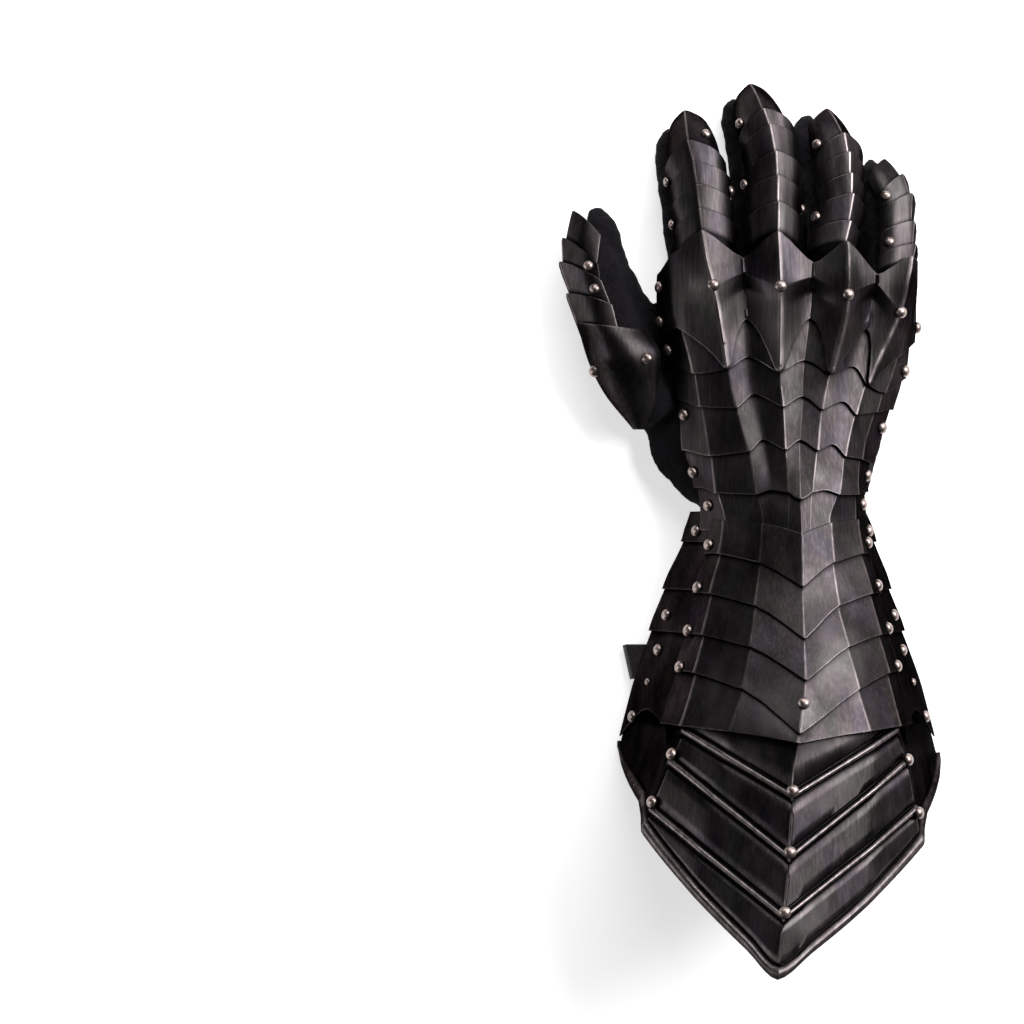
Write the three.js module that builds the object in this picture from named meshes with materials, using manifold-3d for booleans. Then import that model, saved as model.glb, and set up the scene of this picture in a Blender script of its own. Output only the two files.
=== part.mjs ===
// Armoured gauntlet for a right hand, lying palm down. Millimetres, +Z up, fingers along +Y.
// The origin is the flat of the palm on the table. Steel lames lie on a leather glove,
// from the fingertips over a one piece knuckle plate to a pointed, ribbed cuff.
import * as THREE from 'three';
import Module from 'manifold-3d';

const wasm = await Module();
wasm.setup();

// Driving dimensions
const PLATE = 1.0; // steel sheet
const GAP = 0.45; // air between plates that lie on each other
const LAP = 0.3; // hidden share of each lame
const STEP = PLATE + GAP;
const RISE = STEP * (1 + LAP); // how far a lame's free edge stands above its hidden edge
const GLOVE_WALL = 1.6;
const RIVET = { radius: 2.8, height: 2.1, seat: 0.5, sides: 6 };
const STRAP = { width: 16, thick: 2.2 };
const WIRE = 1.1; // half the thickness of the buckle's wire
const CUFF_DEPTH = -1.4; // the cuff's crown lies this far under the lames' base surface
const WALL_DEPTH = -3; // and its side walls lie under the side plates

// Colours from the photo
const STEEL = { color: 0x4b4646, metalness: 0.95, roughness: 0.36 };
const SUEDE = { color: 0x17141b, metalness: 0, roughness: 0.95 };
const STRAP_LEATHER = { color: 0x1c1916, metalness: 0, roughness: 0.6 };
const NICKEL = { color: 0xb9a89e, metalness: 1, roughness: 0.3 };

const gauntlet = new THREE.Group();

const lerp = (a, b, t) => a + (b - a) * t;
const rad = THREE.MathUtils.degToRad;
const vec = (x, y, z) => new THREE.Vector3(x, y, z);

// Columns across the back of the gauntlet, thumb side first. Ridges run up to the four fingers,
// flutes lie between them, and the middle flute becomes the crest of the arm.
const FOOT_L = 0;
const END_L = 1;
const CREASE_L = 2;
const RIDGE_1 = 3;
const RIDGE_2 = 5;
const CREST = 6;
const RIDGE_3 = 7;
const RIDGE_4 = 9;
const CREASE_R = 10;
const END_R = 11;
const FOOT_R = 12;

// Hand: one row per station, x and height of columns FOOT_L to FOOT_R
const HAND = [
  { y: 78,
    x: [-60, -57, -52, -41.2, -22.8, -6.9, 9.1, 24.4, 39, 57, 60.5, 61.5, 61.5],
    z: [8, 17, 31, 40.5, 35.5, 44.5, 36.5, 40.5, 33.5, 29.5, 19, 11, 6] },
  { y: 62,
    x: [-60, -58.5, -53.5, -38.8, -21.8, -6.2, 9.3, 25.2, 38.2, 55.5, 60.5, 61.5, 61.5],
    z: [8, 18, 33, 43, 36.8, 46.8, 38.2, 43, 34, 32.5, 22, 12, 6] },
  { y: 45,
    x: [-60, -59, -52.5, -34.8, -20.8, -5.8, 8.8, 24.6, 36.5, 52, 58.5, 60.5, 60.5],
    z: [8, 18, 33, 43.5, 35.5, 47.5, 37, 44, 32, 33, 23, 13, 6] },
  { y: 12,
    x: [-56, -54, -44, -29, -18.5, -5.9, 5, 17, 27.5, 36.3, 46.5, 53.5, 54.5],
    z: [11, 21, 34, 41, 38.5, 45, 41.5, 44, 37, 35, 28, 18, 8] },
  { y: -5,
    x: [-52, -50, -40.5, -25.4, -15.5, -4.4, 4.2, 13, 21.8, 29.7, 39, 46.5, 48],
    z: [12, 23, 35, 42.5, 40.5, 47, 44.5, 46.5, 41, 39, 32, 23, 12] },
  { y: -24,
    x: [-50, -47.8, -37, -20.1, -12.3, -3.7, 2.6, 10.5, 17.4, 24, 32, 39, 41],
    z: [14, 26, 38, 46, 45, 51, 49.5, 50, 45.5, 43.5, 37, 27, 14] },
  { y: -43,
    x: [-47.5, -38, -34, -16.4, -10.2, -2.5, 2.4, 7.8, 13.5, 20.2, 29, 32, 39],
    z: [15, 32.5, 40, 50, 51.5, 54.5, 55.5, 54.5, 52.5, 50, 42, 34, 15] },
];

// Arm: the crest, the creases where the crown turns down into the side walls, the folds of the
// crown as shares of its way from crest to crease, and the walls' feet
const ARM = [
  { y: -56, crest: 2.6, top: 59.5, left: -31, right: 29, crease: 44,
    fold: [0.5, 0.5], footL: -48.5, footR: 41, foot: 14.5 },
  { y: -88, crest: 2.4, top: 68, left: -37, right: 34, crease: 52,
    fold: [0.5, 0.48], footL: -59.5, footR: 51, foot: 10 },
  { y: -125, crest: 2.2, top: 84, left: -45, right: 41, crease: 61,
    fold: [0.54, 0.58], footL: -71, footR: 63, foot: 7 },
  { y: -150, crest: -1.5, top: 94, left: -52, right: 45.5, crease: 68,
    fold: [0.58, 0.68], footL: -77.5, footR: 70, foot: 4.0 },
  { y: -164, crest: -4, top: 98, left: -58, right: 50, crease: 69,
    fold: [0.6, 0.7], footL: -81, footR: 74, foot: 1.2 },
  { y: -200, crest: -6.5, top: 106, left: -72, right: 57, crease: 67.5,
    fold: [0.6, 0.6], footL: -93, footR: 83, foot: 1.1 },
  { y: -256, crest: -13, top: 119.5, left: -90, right: 68, crease: 65,
    fold: [0.6, 0.6], footL: -108, footR: 98, foot: 0 },
];
const CROWN_BOW = 0.35; // how early the crown falls: 1 makes one flat panel of the two at the fold
const LAME_WRAP = 0.3; // share of the side wall that the arm lames' ends cover

function armRow(row) {
  const x = [];
  const z = [];
  const put = (column, px, pz) => { x[column] = px; z[column] = pz; };
  put(CREST, row.crest, row.top);
  for (const [side, share, step] of [[row.left, row.fold[0], -1], [row.right, row.fold[1], 1]]) {
    const fall = (row.top - row.crease) * (CROWN_BOW * share + (1 - CROWN_BOW) * share * share);
    for (const k of [1, 2, 3]) {
      put(CREST + step * k, lerp(row.crest, side, (share * k) / 3), row.top - (fall * k) / 3);
    }
  }
  put(CREASE_L, row.left, row.crease);
  put(CREASE_R, row.right, row.crease);
  put(END_L, lerp(row.left, row.footL, LAME_WRAP), lerp(row.crease, row.foot, LAME_WRAP));
  put(END_R, lerp(row.right, row.footR, LAME_WRAP), lerp(row.crease, row.foot, LAME_WRAP));
  put(FOOT_L, row.footL, row.foot);
  put(FOOT_R, row.footR, row.foot);
  return { y: row.y, x, z };
}
const STATIONS = [...HAND, ...ARM.map(armRow)];

function stationAt(y) {
  let k = STATIONS.findIndex((row) => row.y <= y);
  if (k < 0) k = STATIONS.length - 1;
  k = Math.max(k, 1);
  const [a, b] = [STATIONS[k - 1], STATIONS[k]];
  return [a, b, (y - a.y) / (b.y - a.y)];
}

// A point of the base surface at length y and column c, which may lie between two columns
function back(y, c) {
  const [a, b, t] = stationAt(y);
  const k = Math.min(Math.max(Math.floor(c), FOOT_L), FOOT_R - 1);
  const f = c - k;
  const at = (key) => lerp(lerp(a[key][k], a[key][k + 1], f), lerp(b[key][k], b[key][k + 1], f), t);
  return vec(at('x'), y, at('z'));
}

// The outward normal there, longer at a crease so that an offset keeps its distance on both sides
function outward(y, c) {
  const tiny = 0.02;
  const along = back(y + 2, c).sub(back(y - 2, c)).normalize();
  const here = back(y, c);
  const sides = [];
  if (c < FOOT_R) sides.push(back(y, c + tiny).sub(here));
  if (c > FOOT_L) sides.push(here.clone().sub(back(y, c - tiny)));
  const normals = sides.map((side) => side.normalize().cross(along).normalize());
  const mean = normals.reduce((sum, n) => sum.add(n), vec(0, 0, 0)).normalize();
  return mean.multiplyScalar(1 / Math.max(mean.dot(normals[0]), 0.75));
}

// Solids are lists of points and triangles, closed and facing out
class Solid {
  constructor() {
    this.points = [];
    this.triangles = [];
  }
  grid(rows, flip = false, closed = false) {
    const start = this.points.length;
    const wide = rows[0].length;
    rows.forEach((row) => this.points.push(...row));
    const last = closed ? wide : wide - 1;
    for (let i = 0; i < rows.length - 1; i += 1) {
      for (let j = 0; j < last; j += 1) {
        const a = start + i * wide + j;
        const b = start + i * wide + ((j + 1) % wide);
        this.quad(a, b, b + wide, a + wide, flip);
      }
    }
    return start;
  }
  quad(a, b, c, d, flip = false) {
    if (flip) this.triangles.push([a, c, b], [a, d, c]);
    else this.triangles.push([a, b, c], [a, c, d]);
  }
  fan(ring, centre, flip = false) {
    const tip = this.points.push(centre) - 1;
    ring.forEach((a, k) => {
      const b = ring[(k + 1) % ring.length];
      this.triangles.push(flip ? [a, b, tip] : [b, a, tip]);
    });
  }
  volume() {
    return this.triangles.reduce((sum, [a, b, c]) => {
      const cross = this.points[b].clone().cross(this.points[c]);
      return sum + this.points[a].dot(cross) / 6;
    }, 0);
  }
  manifold() {
    if (this.volume() < 0) this.triangles = this.triangles.map(([a, b, c]) => [a, c, b]);
    return new wasm.Manifold(new wasm.Mesh({
      numProp: 3,
      vertProperties: new Float32Array(this.points.flatMap((p) => [p.x, p.y, p.z])),
      triVerts: new Uint32Array(this.triangles.flat()),
    }));
  }
}

// A sheet between two grids of points
function sheet(outer, inner) {
  const solid = new Solid();
  const a = solid.grid(outer);
  const b = solid.grid(inner, true);
  const rows = outer.length;
  const wide = outer[0].length;
  for (let j = 0; j < wide - 1; j += 1) {
    solid.quad(a + j + 1, a + j, b + j, b + j + 1);
    const k = (rows - 1) * wide + j;
    solid.quad(a + k, a + k + 1, b + k + 1, b + k);
  }
  for (let i = 0; i < rows - 1; i += 1) {
    const k = i * wide;
    solid.quad(a + k, a + k + wide, b + k + wide, b + k);
    const m = k + wide - 1;
    solid.quad(a + m + wide, a + m, b + m, b + m + wide);
  }
  return solid.manifold();
}

// A closed tube through rings of points; without caps its two ends are flat
function rod(rings) {
  const solid = new Solid();
  solid.grid(rings, false, true);
  const wide = rings[0].length;
  const first = [...Array(wide).keys()];
  const last = first.map((k) => k + (rings.length - 1) * wide);
  const middle = (ring) => ring.reduce((sum, p) => sum.add(p), vec(0, 0, 0)).divideScalar(wide);
  solid.fan(first, middle(rings[0]));
  solid.fan(last, middle(rings[rings.length - 1]), true);
  return solid.manifold();
}

// A rivet's low dome on a surface point, sunk a little into its plate
function dome(at, normal, scale = 1) {
  const up = normal.clone().normalize();
  const turn = new THREE.Quaternion().setFromUnitVectors(vec(0, 0, 1), up);
  const profile = [[1, -RIVET.seat], [1, 0.35 * RIVET.height], [0.6, RIVET.height]];
  return rod(profile.map(([r, h]) => Array.from({ length: RIVET.sides }, (_, k) => {
    const a = (2 * Math.PI * k) / RIVET.sides;
    const flat = vec(Math.cos(a), Math.sin(a), 0).multiplyScalar(r * RIVET.radius * scale);
    return flat.add(vec(0, 0, h)).applyQuaternion(turn).add(at);
  })));
}

function put(name, solid, finish) {
  const { vertProperties, triVerts, numProp } = solid.getMesh();
  const geometry = new THREE.BufferGeometry();
  const place = new Float32Array((vertProperties.length / numProp) * 3);
  for (let k = 0; k < place.length / 3; k += 1) {
    place.set(vertProperties.subarray(k * numProp, k * numProp + 3), k * 3);
  }
  geometry.setAttribute('position', new THREE.BufferAttribute(place, 3));
  geometry.setIndex(new THREE.BufferAttribute(new Uint32Array(triVerts), 1));
  geometry.computeVertexNormals();
  const mesh = new THREE.Mesh(geometry, new THREE.MeshStandardMaterial(finish));
  mesh.name = name;
  gauntlet.add(mesh);
}

// Plates on the back of the hand and arm, each between a front and a rear edge.
// An edge is a length y for each column.
const across = (edge) => (c) => {
  const k = Math.min(Math.max(Math.floor(c), FOOT_L), FOOT_R - 1);
  return lerp(edge[k], edge[k + 1], c - k);
};
const hidden = (edge, next, most) => edge.map((y, c) => (
  y + Math.min(LAP * Math.max(y - next[c], 8), most)));

function columns(from, to, share = 1) {
  const list = [from];
  for (let c = Math.floor(from) + share; c < to; c += share) if (c > from) list.push(c);
  return [...list, to];
}

function plateOnBack({ front, rear, height, from = END_L, to = END_R, rows = 2, share = 1, rivets = [] }) {
  const [frontAt, rearAt] = [across(front), across(rear)];
  const list = columns(from, to, share);
  const layer = (deeper) => Array.from({ length: rows + 1 }, (_, k) => list.map((c) => {
    const y = lerp(frontAt(c), rearAt(c), k / rows);
    return back(y, c).addScaledVector(outward(y, c), height(k / rows, y, c) - deeper);
  }));
  const body = sheet(layer(0), layer(PLATE));
  return rivetsOn(body, rivets, (y, c) => {
    const t = (frontAt(c) - y) / (frontAt(c) - rearAt(c));
    return height(t, y, c);
  });
}

function rivetsOn(solid, places, height) {
  return places.reduce((sum, [y, c, scale]) => {
    const up = outward(y, c).normalize();
    return sum.add(dome(back(y, c).addScaledVector(up, height(y, c)), up, scale));
  }, solid);
}

// Knuckle plate: a peak over each finger, arches between spikes towards the wrist
const KNUCKLE_FRONT = [57, 58, 66, 76.5, 64.2, 75.7, 61.8, 71.5, 57.5, 65.5, 67, 67, 67];
const KNUCKLE_REAR = [29, 29, 33, 13.2, 36.5, 11.2, 36.8, 10.8, 32.3, 6.2, 22, 27, 27];
const KNUCKLE_RIVETS = [[51.4, RIDGE_1], [50.7, RIDGE_2], [47.3, RIDGE_3], [40, RIDGE_4],
  [52, 1.25], [36, 1.2], [34, 11]];
const KNUCKLE_LIFT = { front: 2, rear: 3.8, from: 44, to: 16 };

function knuckleHeight(y) {
  const t = (KNUCKLE_LIFT.from - y) / (KNUCKLE_LIFT.from - KNUCKLE_LIFT.to);
  return lerp(KNUCKLE_LIFT.front, KNUCKLE_LIFT.rear, Math.min(Math.max(t, 0), 1));
}

function knucklePlate() {
  const height = (t, y) => knuckleHeight(y);
  return plateOnBack({
    front: KNUCKLE_FRONT, rear: KNUCKLE_REAR, height, rows: 4, share: 0.5, rivets: KNUCKLE_RIVETS,
  });
}

// Lames over the back of the hand, each on top of the one nearer the wrist
const M_EDGES = [
  [34, 36, 40, 43, 43, 43, 43, 43, 40, 34, 34, 36, 36],
  [20, 20, 11.7, 13.3, 18.8, 11.3, 17.1, 10.9, 14.4, 6.2, 3, 10, 10],
  [1, 1, -3.6, -4.6, 1.8, -4.3, 0.4, -5.6, -1.7, -7.7, -6, -4.4, -4.4],
  [-23.4, -23.4, -26.3, -24.7, -19.2, -23.9, -19.7, -24.3, -21.5, -26.9, -28, -29.4, -29.4],
  [-40.5, -40.5, -43.3, -44.3, -42.5, -43.4, -46.6, -43.4, -42.5, -44.3, -44.2, -42.8, -42.8],
];
const M_LAP = 3;
const M_ENDS = [[1, 11], [1, 11], [1, 11], [0.6, 11.4]]; // columns at the ends of each lame
const M_RIVETS = [[[23, 1.2], [13.5, 10.8]], [], [[-7, 1.2], [-13, 10.8]], [[-33, 1], [-35, 11]]];
const WRIST_RIVETS = [[-49, 0.95], [-48.5, 11.05]];

// Lames over the arm: a shallow V across the crown, its point on the crest
const WRIST_EDGE = [-55, -55.5, -56, -57.5, -58.5, -60, -61.9, -60, -58.5, -57, -55.5, -54, -54];
const V_EDGES = [{ side: -71.5, tip: -86 }, { side: -89.5, tip: -109 }, { side: -108, tip: -127 },
  { side: -125, tip: -150 }, { side: -148.5, tip: -154 }];
const V_SHARP = 1.7;
const CROWN_SHARE = [1, 1, 1, 0.55, 0.37, 0.18, 0, 0.18, 0.37, 0.55, 1, 1, 1];
const vEdge = ({ side, tip }) => CROWN_SHARE.map((u) => lerp(side, tip, (1 - u) ** V_SHARP));
const W_EDGES = [WRIST_EDGE, ...V_EDGES.map(vEdge)];
const W_RIVETS = [[[-67.5, 1.3], [-66.5, 10.7]], [[-87, 1.3], [-86, 10.7]], [[-106.5, 1.3], [-105.5, 10.7]],
  [[-123, 1.3], [-122.5, 10.7], [-137, CREST]], []];
const W_LAP = 6;
const WRIST_REACH = 5; // the wrist lame runs this far under both of its neighbours

const shingle = (t) => RISE * t;

function handLames() {
  for (let k = 1; k < M_EDGES.length; k += 1) {
    const front = k === 1 ? M_EDGES[0] : hidden(M_EDGES[k - 1], M_EDGES[k], M_LAP);
    const rivets = M_RIVETS[k - 1];
    const [from, to] = M_ENDS[k - 1];
    put(`metacarpal_lame_${k}`, plateOnBack({
      front, rear: M_EDGES[k], height: shingle, from, to, share: 0.5, rivets,
    }), STEEL);
  }
}

function armLames() {
  const front = M_EDGES[4].map((y) => y + WRIST_REACH);
  const rear = WRIST_EDGE.map((y) => y - WRIST_REACH);
  put('wrist_lame', plateOnBack({
    front, rear, height: () => 0, from: 0.6, to: 11.4, rows: 4, rivets: WRIST_RIVETS,
  }), STEEL);
  for (let k = 1; k < W_EDGES.length; k += 1) {
    const top = k === 1;
    put(`cuff_lame_${k}`, plateOnBack({
      front: top ? W_EDGES[0] : hidden(W_EDGES[k - 1], W_EDGES[k], W_LAP),
      rear: W_EDGES[k],
      height: top ? (t) => lerp(STEP, RISE, t) : shingle,
      rivets: W_RIVETS[k - 1],
    }), STEEL);
  }
}

// Side plates under the lames' ends, down to the table edge of the arm
const SIDE_TOP = 0.35; // how far they reach under the lames' ends, in columns
const SIDE_SEAMS = [-51.5, -65.5, -87.5, -107];
const SIDE_LAP = 5;
const SIDE_TAIL = [[0, -157], [0.45, -143], [1, -150], [1 + SIDE_TOP, -157]];
const SIDE_RIVETS = [[[-60.5, 0.45]], [], [[-99.5, 0.35]], [[-115.5, 0.35], [-130.5, 0.35, 0.6], [-147, 0.22]]];
const SIDE_RUN = [8, 19, 19, 30]; // length over which each climbs to its full height

const sideTail = (c) => {
  const k = Math.max(SIDE_TAIL.findIndex(([at]) => at >= c), 1);
  const [[a, ya], [b, yb]] = [SIDE_TAIL[k - 1], SIDE_TAIL[k]];
  return lerp(ya, yb, (c - a) / (b - a));
};

function sidePlate(k, side) {
  const list = [0, 0.45, 1, 1 + SIDE_TOP];
  const last = k === SIDE_SEAMS.length - 1;
  const start = SIDE_SEAMS[k] + (k ? SIDE_LAP : 0);
  const end = (c) => (last ? sideTail(c) : SIDE_SEAMS[k + 1]);
  const flip = (c) => (side === 'left' ? c : FOOT_R - c);
  const stops = (c) => [start, start - SIDE_RUN[k], end(c)].map((y) => Math.max(y, end(c)));
  const low = -STEP - RISE;
  const heightAt = (y) => lerp(low, -STEP, Math.min((start - y) / SIDE_RUN[k], 1));
  const layer = (deeper) => [0, 1, 2].map((row) => list.map((c) => {
    const y = stops(c)[row];
    return back(y, flip(c)).addScaledVector(outward(y, flip(c)), heightAt(y) - deeper);
  }));
  const body = sheet(layer(0), layer(PLATE));
  return rivetsOn(body, SIDE_RIVETS[k].map(([y, c, s]) => [y, flip(c), s]), heightAt);
}

// Cuff: one ribbed plate, its rim a broad point
const CUFF_FRONT = [-150, -146, -141, -138, -136, -134, -133, -134, -136, -138, -141, -146, -150];
const RIM = { tip: -254.5, cornerL: -196, cornerR: -202, footL: -160, footR: -167 };
const RIBS = [{ tip: -176.7, side: -149.5 }, { tip: -203, side: -163.5 }, { tip: -228.5, side: -185 }];
const RIB = { height: 1.5, half: 2.6 };
const CUFF_RIVETS = [[-174.3, CREST], [-200.6, CREST], [-226.2, CREST],
  [-160.5, CREASE_L], [-182, CREASE_L], [-163, CREASE_R], [-187, CREASE_R]];

function cuffRim(c) {
  const left = c < CREST;
  const corner = left ? RIM.cornerL : RIM.cornerR;
  const k = left ? c : FOOT_R - c;
  if (k >= CREASE_L) return lerp(RIM.tip, corner, across(CROWN_SHARE)(k));
  return lerp(left ? RIM.footL : RIM.footR, corner, (k / CREASE_L) ** 0.6);
}

function cuffHeight(c) {
  const k = c < CREST ? c : FOOT_R - c;
  return lerp(WALL_DEPTH, CUFF_DEPTH, Math.min(Math.max((k - 1.5) / 0.5, 0), 1));
}

// Lengths of the cuff's rows at a column: the front edge, three lines for each rib, the rim
function cuffRows(c) {
  const front = across(CUFF_FRONT)(c);
  const rim = cuffRim(c);
  const k = c < CREST ? c : FOOT_R - c;
  const share = across(CROWN_SHARE)(k);
  const rows = [[front, 0]];
  RIBS.forEach(({ tip, side }, n) => {
    const y = k >= CREASE_L ? lerp(tip, side, share) : lerp(front, rim, (n + 1) / (RIBS.length + 1));
    const high = k >= CREASE_L ? RIB.height : 0;
    const half = k >= CREASE_L ? RIB.half : 1;
    rows.push([y + half, 0], [y, high], [y - half, 0]);
  });
  rows.push([rim, 0]);
  let floor = Infinity;
  return rows.map(([y, high]) => {
    floor = Math.min(y, floor - 0.4);
    return [floor, high];
  });
}

function cuffPlate() {
  const list = [0, 1, 1.5, ...columns(CREASE_L, CREASE_R), 10.5, 11, 12];
  const stops = list.map(cuffRows);
  const layer = (deeper) => stops[0].map((_, row) => list.map((c, k) => {
    const [y, high] = stops[k][row];
    return back(y, c).addScaledVector(outward(y, c), cuffHeight(c) + high - deeper);
  }));
  const body = sheet(layer(0), layer(PLATE));
  return rivetsOn(body, CUFF_RIVETS, (y, c) => cuffHeight(c) + RIB.height * 0.6);
}

// Fingers. One row per plate edge on the ridge, knuckle first, and the tip's end last.
const FINGERS = {
  index: { roll: -8, radius: [13, 12], lag: 5,
    ridge: [[-40.7, 76.3, 38.5], [-41.7, 86.6, 35.5], [-42.9, 98, 32.5], [-44.1, 108.4, 29.5],
      [-46.5, 118.5, 26], [-48.4, 140.5, 15.5]],
    rivets: [[4.4, 40], [2.5, 78], [3.6, -78], [1.5, -78]] },
  middle: { roll: 8, radius: [11.8, 11.4], lag: 5,
    ridge: [[-6.4, 76, 41.5], [-6.3, 89.6, 38.3], [-6.2, 102, 34.5], [-6.9, 113.4, 31.5],
      [-9.3, 126.3, 27.5], [-11.8, 133.1, 25], [-19, 153, 14]],
    rivets: [[5.3, -60], [2.6, -78], [1.6, 78]] },
  ring: { roll: 25, radius: [11.6, 11], lag: 5,
    ridge: [[24.5, 71.7, 38.3], [26.3, 81.2, 35.3], [28.1, 94, 31.5], [27.6, 103.6, 28.5],
      [27, 113.7, 25], [25, 122.4, 22], [18, 141.5, 12.5]],
    rivets: [[5.3, -60], [1.6, -70]] },
  little: { roll: 50, radius: [10.5, 9.6], lag: 4,
    ridge: [[56, 63.5, 28.5], [56.6, 71.2, 26], [56.2, 82.2, 23], [55.8, 95.1, 19.5],
      [51.9, 103.8, 17], [43.8, 118, 10]],
    rivets: [[3.6, -60], [1.4, -60]] },
  thumb: { roll: -70, radius: [12.5, 11.8], lag: 9,
    ridge: [[-97, 34.5, 24], [-100.7, 49.5, 20.5], [-103.9, 64.1, 18], [-102.4, 74.9, 16.5],
      [-98.5, 93, 13]],
    rivets: [[2.4, 62], [1.4, 62]] },
};
const KEEL = 0.12; // how far the ridge stands proud of the round
const HALF_WRAP = 84;
const ANGLES = [-HALF_WRAP, -54, -24, 0, 24, 54, HALF_WRAP];
const ROOT_LAP = 0.5; // hidden part of the first lame, in pitches
const TIP_SHAPE = [[-LAP, 1], [0.25, 1], [0.6, 0.86], [0.85, 0.6], [1, 0.22]]; // length, width
const TIP_LIFT = 0.5;

function fingerFrame(finger, k) {
  const rows = finger.ridge;
  const n = Math.min(Math.max(Math.floor(k), 0), rows.length - 2);
  const [a, b] = [vec(...rows[n]), vec(...rows[n + 1])];
  const ridge = a.clone().lerp(b, k - n);
  const before = vec(...rows[Math.max(n - 1, 0)]);
  const after = vec(...rows[Math.min(n + 2, rows.length - 1)]);
  const f = Math.min(Math.max(k - n, 0), 1);
  const start = b.clone().sub(before).normalize();
  const along = start.lerp(after.sub(a).normalize(), f).normalize();
  const roll = rad(finger.roll);
  const up = vec(Math.sin(roll), 0, Math.cos(roll));
  up.addScaledVector(along, -up.dot(along)).normalize();
  const side = along.clone().cross(up).normalize();
  const radius = lerp(...finger.radius, Math.min(Math.max(k, 0) / (rows.length - 1), 1));
  const centre = ridge.addScaledVector(up, -radius * (1 + KEEL));
  return { centre, along, up, side, radius };
}

function onFinger(finger, k, degrees, offset, shrink = 1) {
  const { centre, along, up, side, radius } = fingerFrame(finger, k);
  const a = rad(degrees);
  const share = Math.abs(degrees) / HALF_WRAP;
  const keel = 1 + KEEL * Math.max(1 - Math.abs(degrees) / 24, 0);
  const reach = radius * keel * shrink + offset;
  return centre.clone().addScaledVector(up, Math.cos(a) * reach)
    .addScaledVector(side, Math.sin(a) * reach)
    .addScaledVector(along, -finger.lag * share ** 1.5);
}

function fingerPlates(name, finger) {
  const last = finger.ridge.length - 2;
  for (let k = 1; k <= last; k += 1) {
    const begin = k === 1 ? -ROOT_LAP : k - 1 - LAP;
    const layer = (deeper) => [0, 0.5, 1].map((t) => ANGLES.map((a) => onFinger(
      finger, lerp(begin, k, t), a, RISE * t - deeper)));
    const body = sheet(layer(0), layer(PLATE));
    put(`${name}_lame_${k}`, fingerRivets(body, finger, begin, k), STEEL);
  }
  const layer = (deeper) => TIP_SHAPE.map(([t, shrink]) => ANGLES.map((a) => onFinger(
    finger, last + t, a, (t > 0 ? TIP_LIFT : 0) - deeper, shrink)));
  const tip = sheet(layer(0), layer(PLATE));
  put(`${name}_tip`, fingerRivets(tip, finger, last, last + 1), STEEL);
}

function tipWidth(t) {
  const k = Math.max(TIP_SHAPE.findIndex(([at]) => at >= t), 1);
  const [[a, wa], [b, wb]] = [TIP_SHAPE[k - 1], TIP_SHAPE[k]];
  return lerp(wa, wb, (t - a) / (b - a));
}

function fingerRivets(solid, finger, from, to) {
  return finger.rivets.filter(([k]) => k > to - 1 && k > from && k < to).reduce((sum, [k, degrees]) => {
    const { up, side } = fingerFrame(finger, k);
    const a = rad(degrees);
    const normal = up.multiplyScalar(Math.cos(a)).addScaledVector(side, Math.sin(a));
    const onTip = k > finger.ridge.length - 2;
    const lift = onTip ? TIP_LIFT : RISE * ((k - from) / (to - from));
    const shrink = onTip ? tipWidth(k - from) : 1;
    return sum.add(dome(onFinger(finger, k, degrees, lift, shrink), normal, 0.85));
  }, solid);
}

// The plate over the root of the thumb: left and right ends of its rows, and its bulge
const THUMB_BASE = [
  { left: [-101, 37, 15.5], right: [-68, 31, 31], bulge: 16.5 },
  { left: [-96.5, 19, 18], right: [-61.5, 20, 31], bulge: 15.5 },
  { left: [-86, 4, 21], right: [-61, 2, 30], bulge: 7.5 },
  { left: [-72, -14, 26], right: [-66, -14, 28], bulge: 1.5 },
];
const THUMB_BASE_ROUND = 0.7;
const THUMB_BASE_RIVETS = [[1.1, 0.88], [1.4, 0.1]];

function thumbBasePoint(v, u, deeper) {
  const k = Math.min(Math.floor(v), THUMB_BASE.length - 2);
  const f = v - k;
  const row = (n) => {
    const { left, right, bulge } = THUMB_BASE[n];
    const [a, b] = [vec(...left), vec(...right)];
    const out = vec(a.z - b.z, 0, b.x - a.x).normalize();
    return a.clone().lerp(b, u).addScaledVector(out, bulge * Math.sin(Math.PI * u) ** THUMB_BASE_ROUND - deeper);
  };
  return row(k).lerp(row(k + 1), f);
}

function thumbBase() {
  const shares = [0, 0.25, 0.5, 0.75, 1];
  const rows = [0, 1, 2, 3];
  const layer = (deeper) => rows.map((v) => shares.map((u) => thumbBasePoint(v, u, deeper)));
  return THUMB_BASE_RIVETS.reduce((sum, [v, u]) => {
    const here = thumbBasePoint(v, u, 0);
    const normal = here.clone().sub(thumbBasePoint(v, u, 1));
    return sum.add(dome(here, normal));
  }, sheet(layer(0), layer(PLATE)));
}

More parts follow.
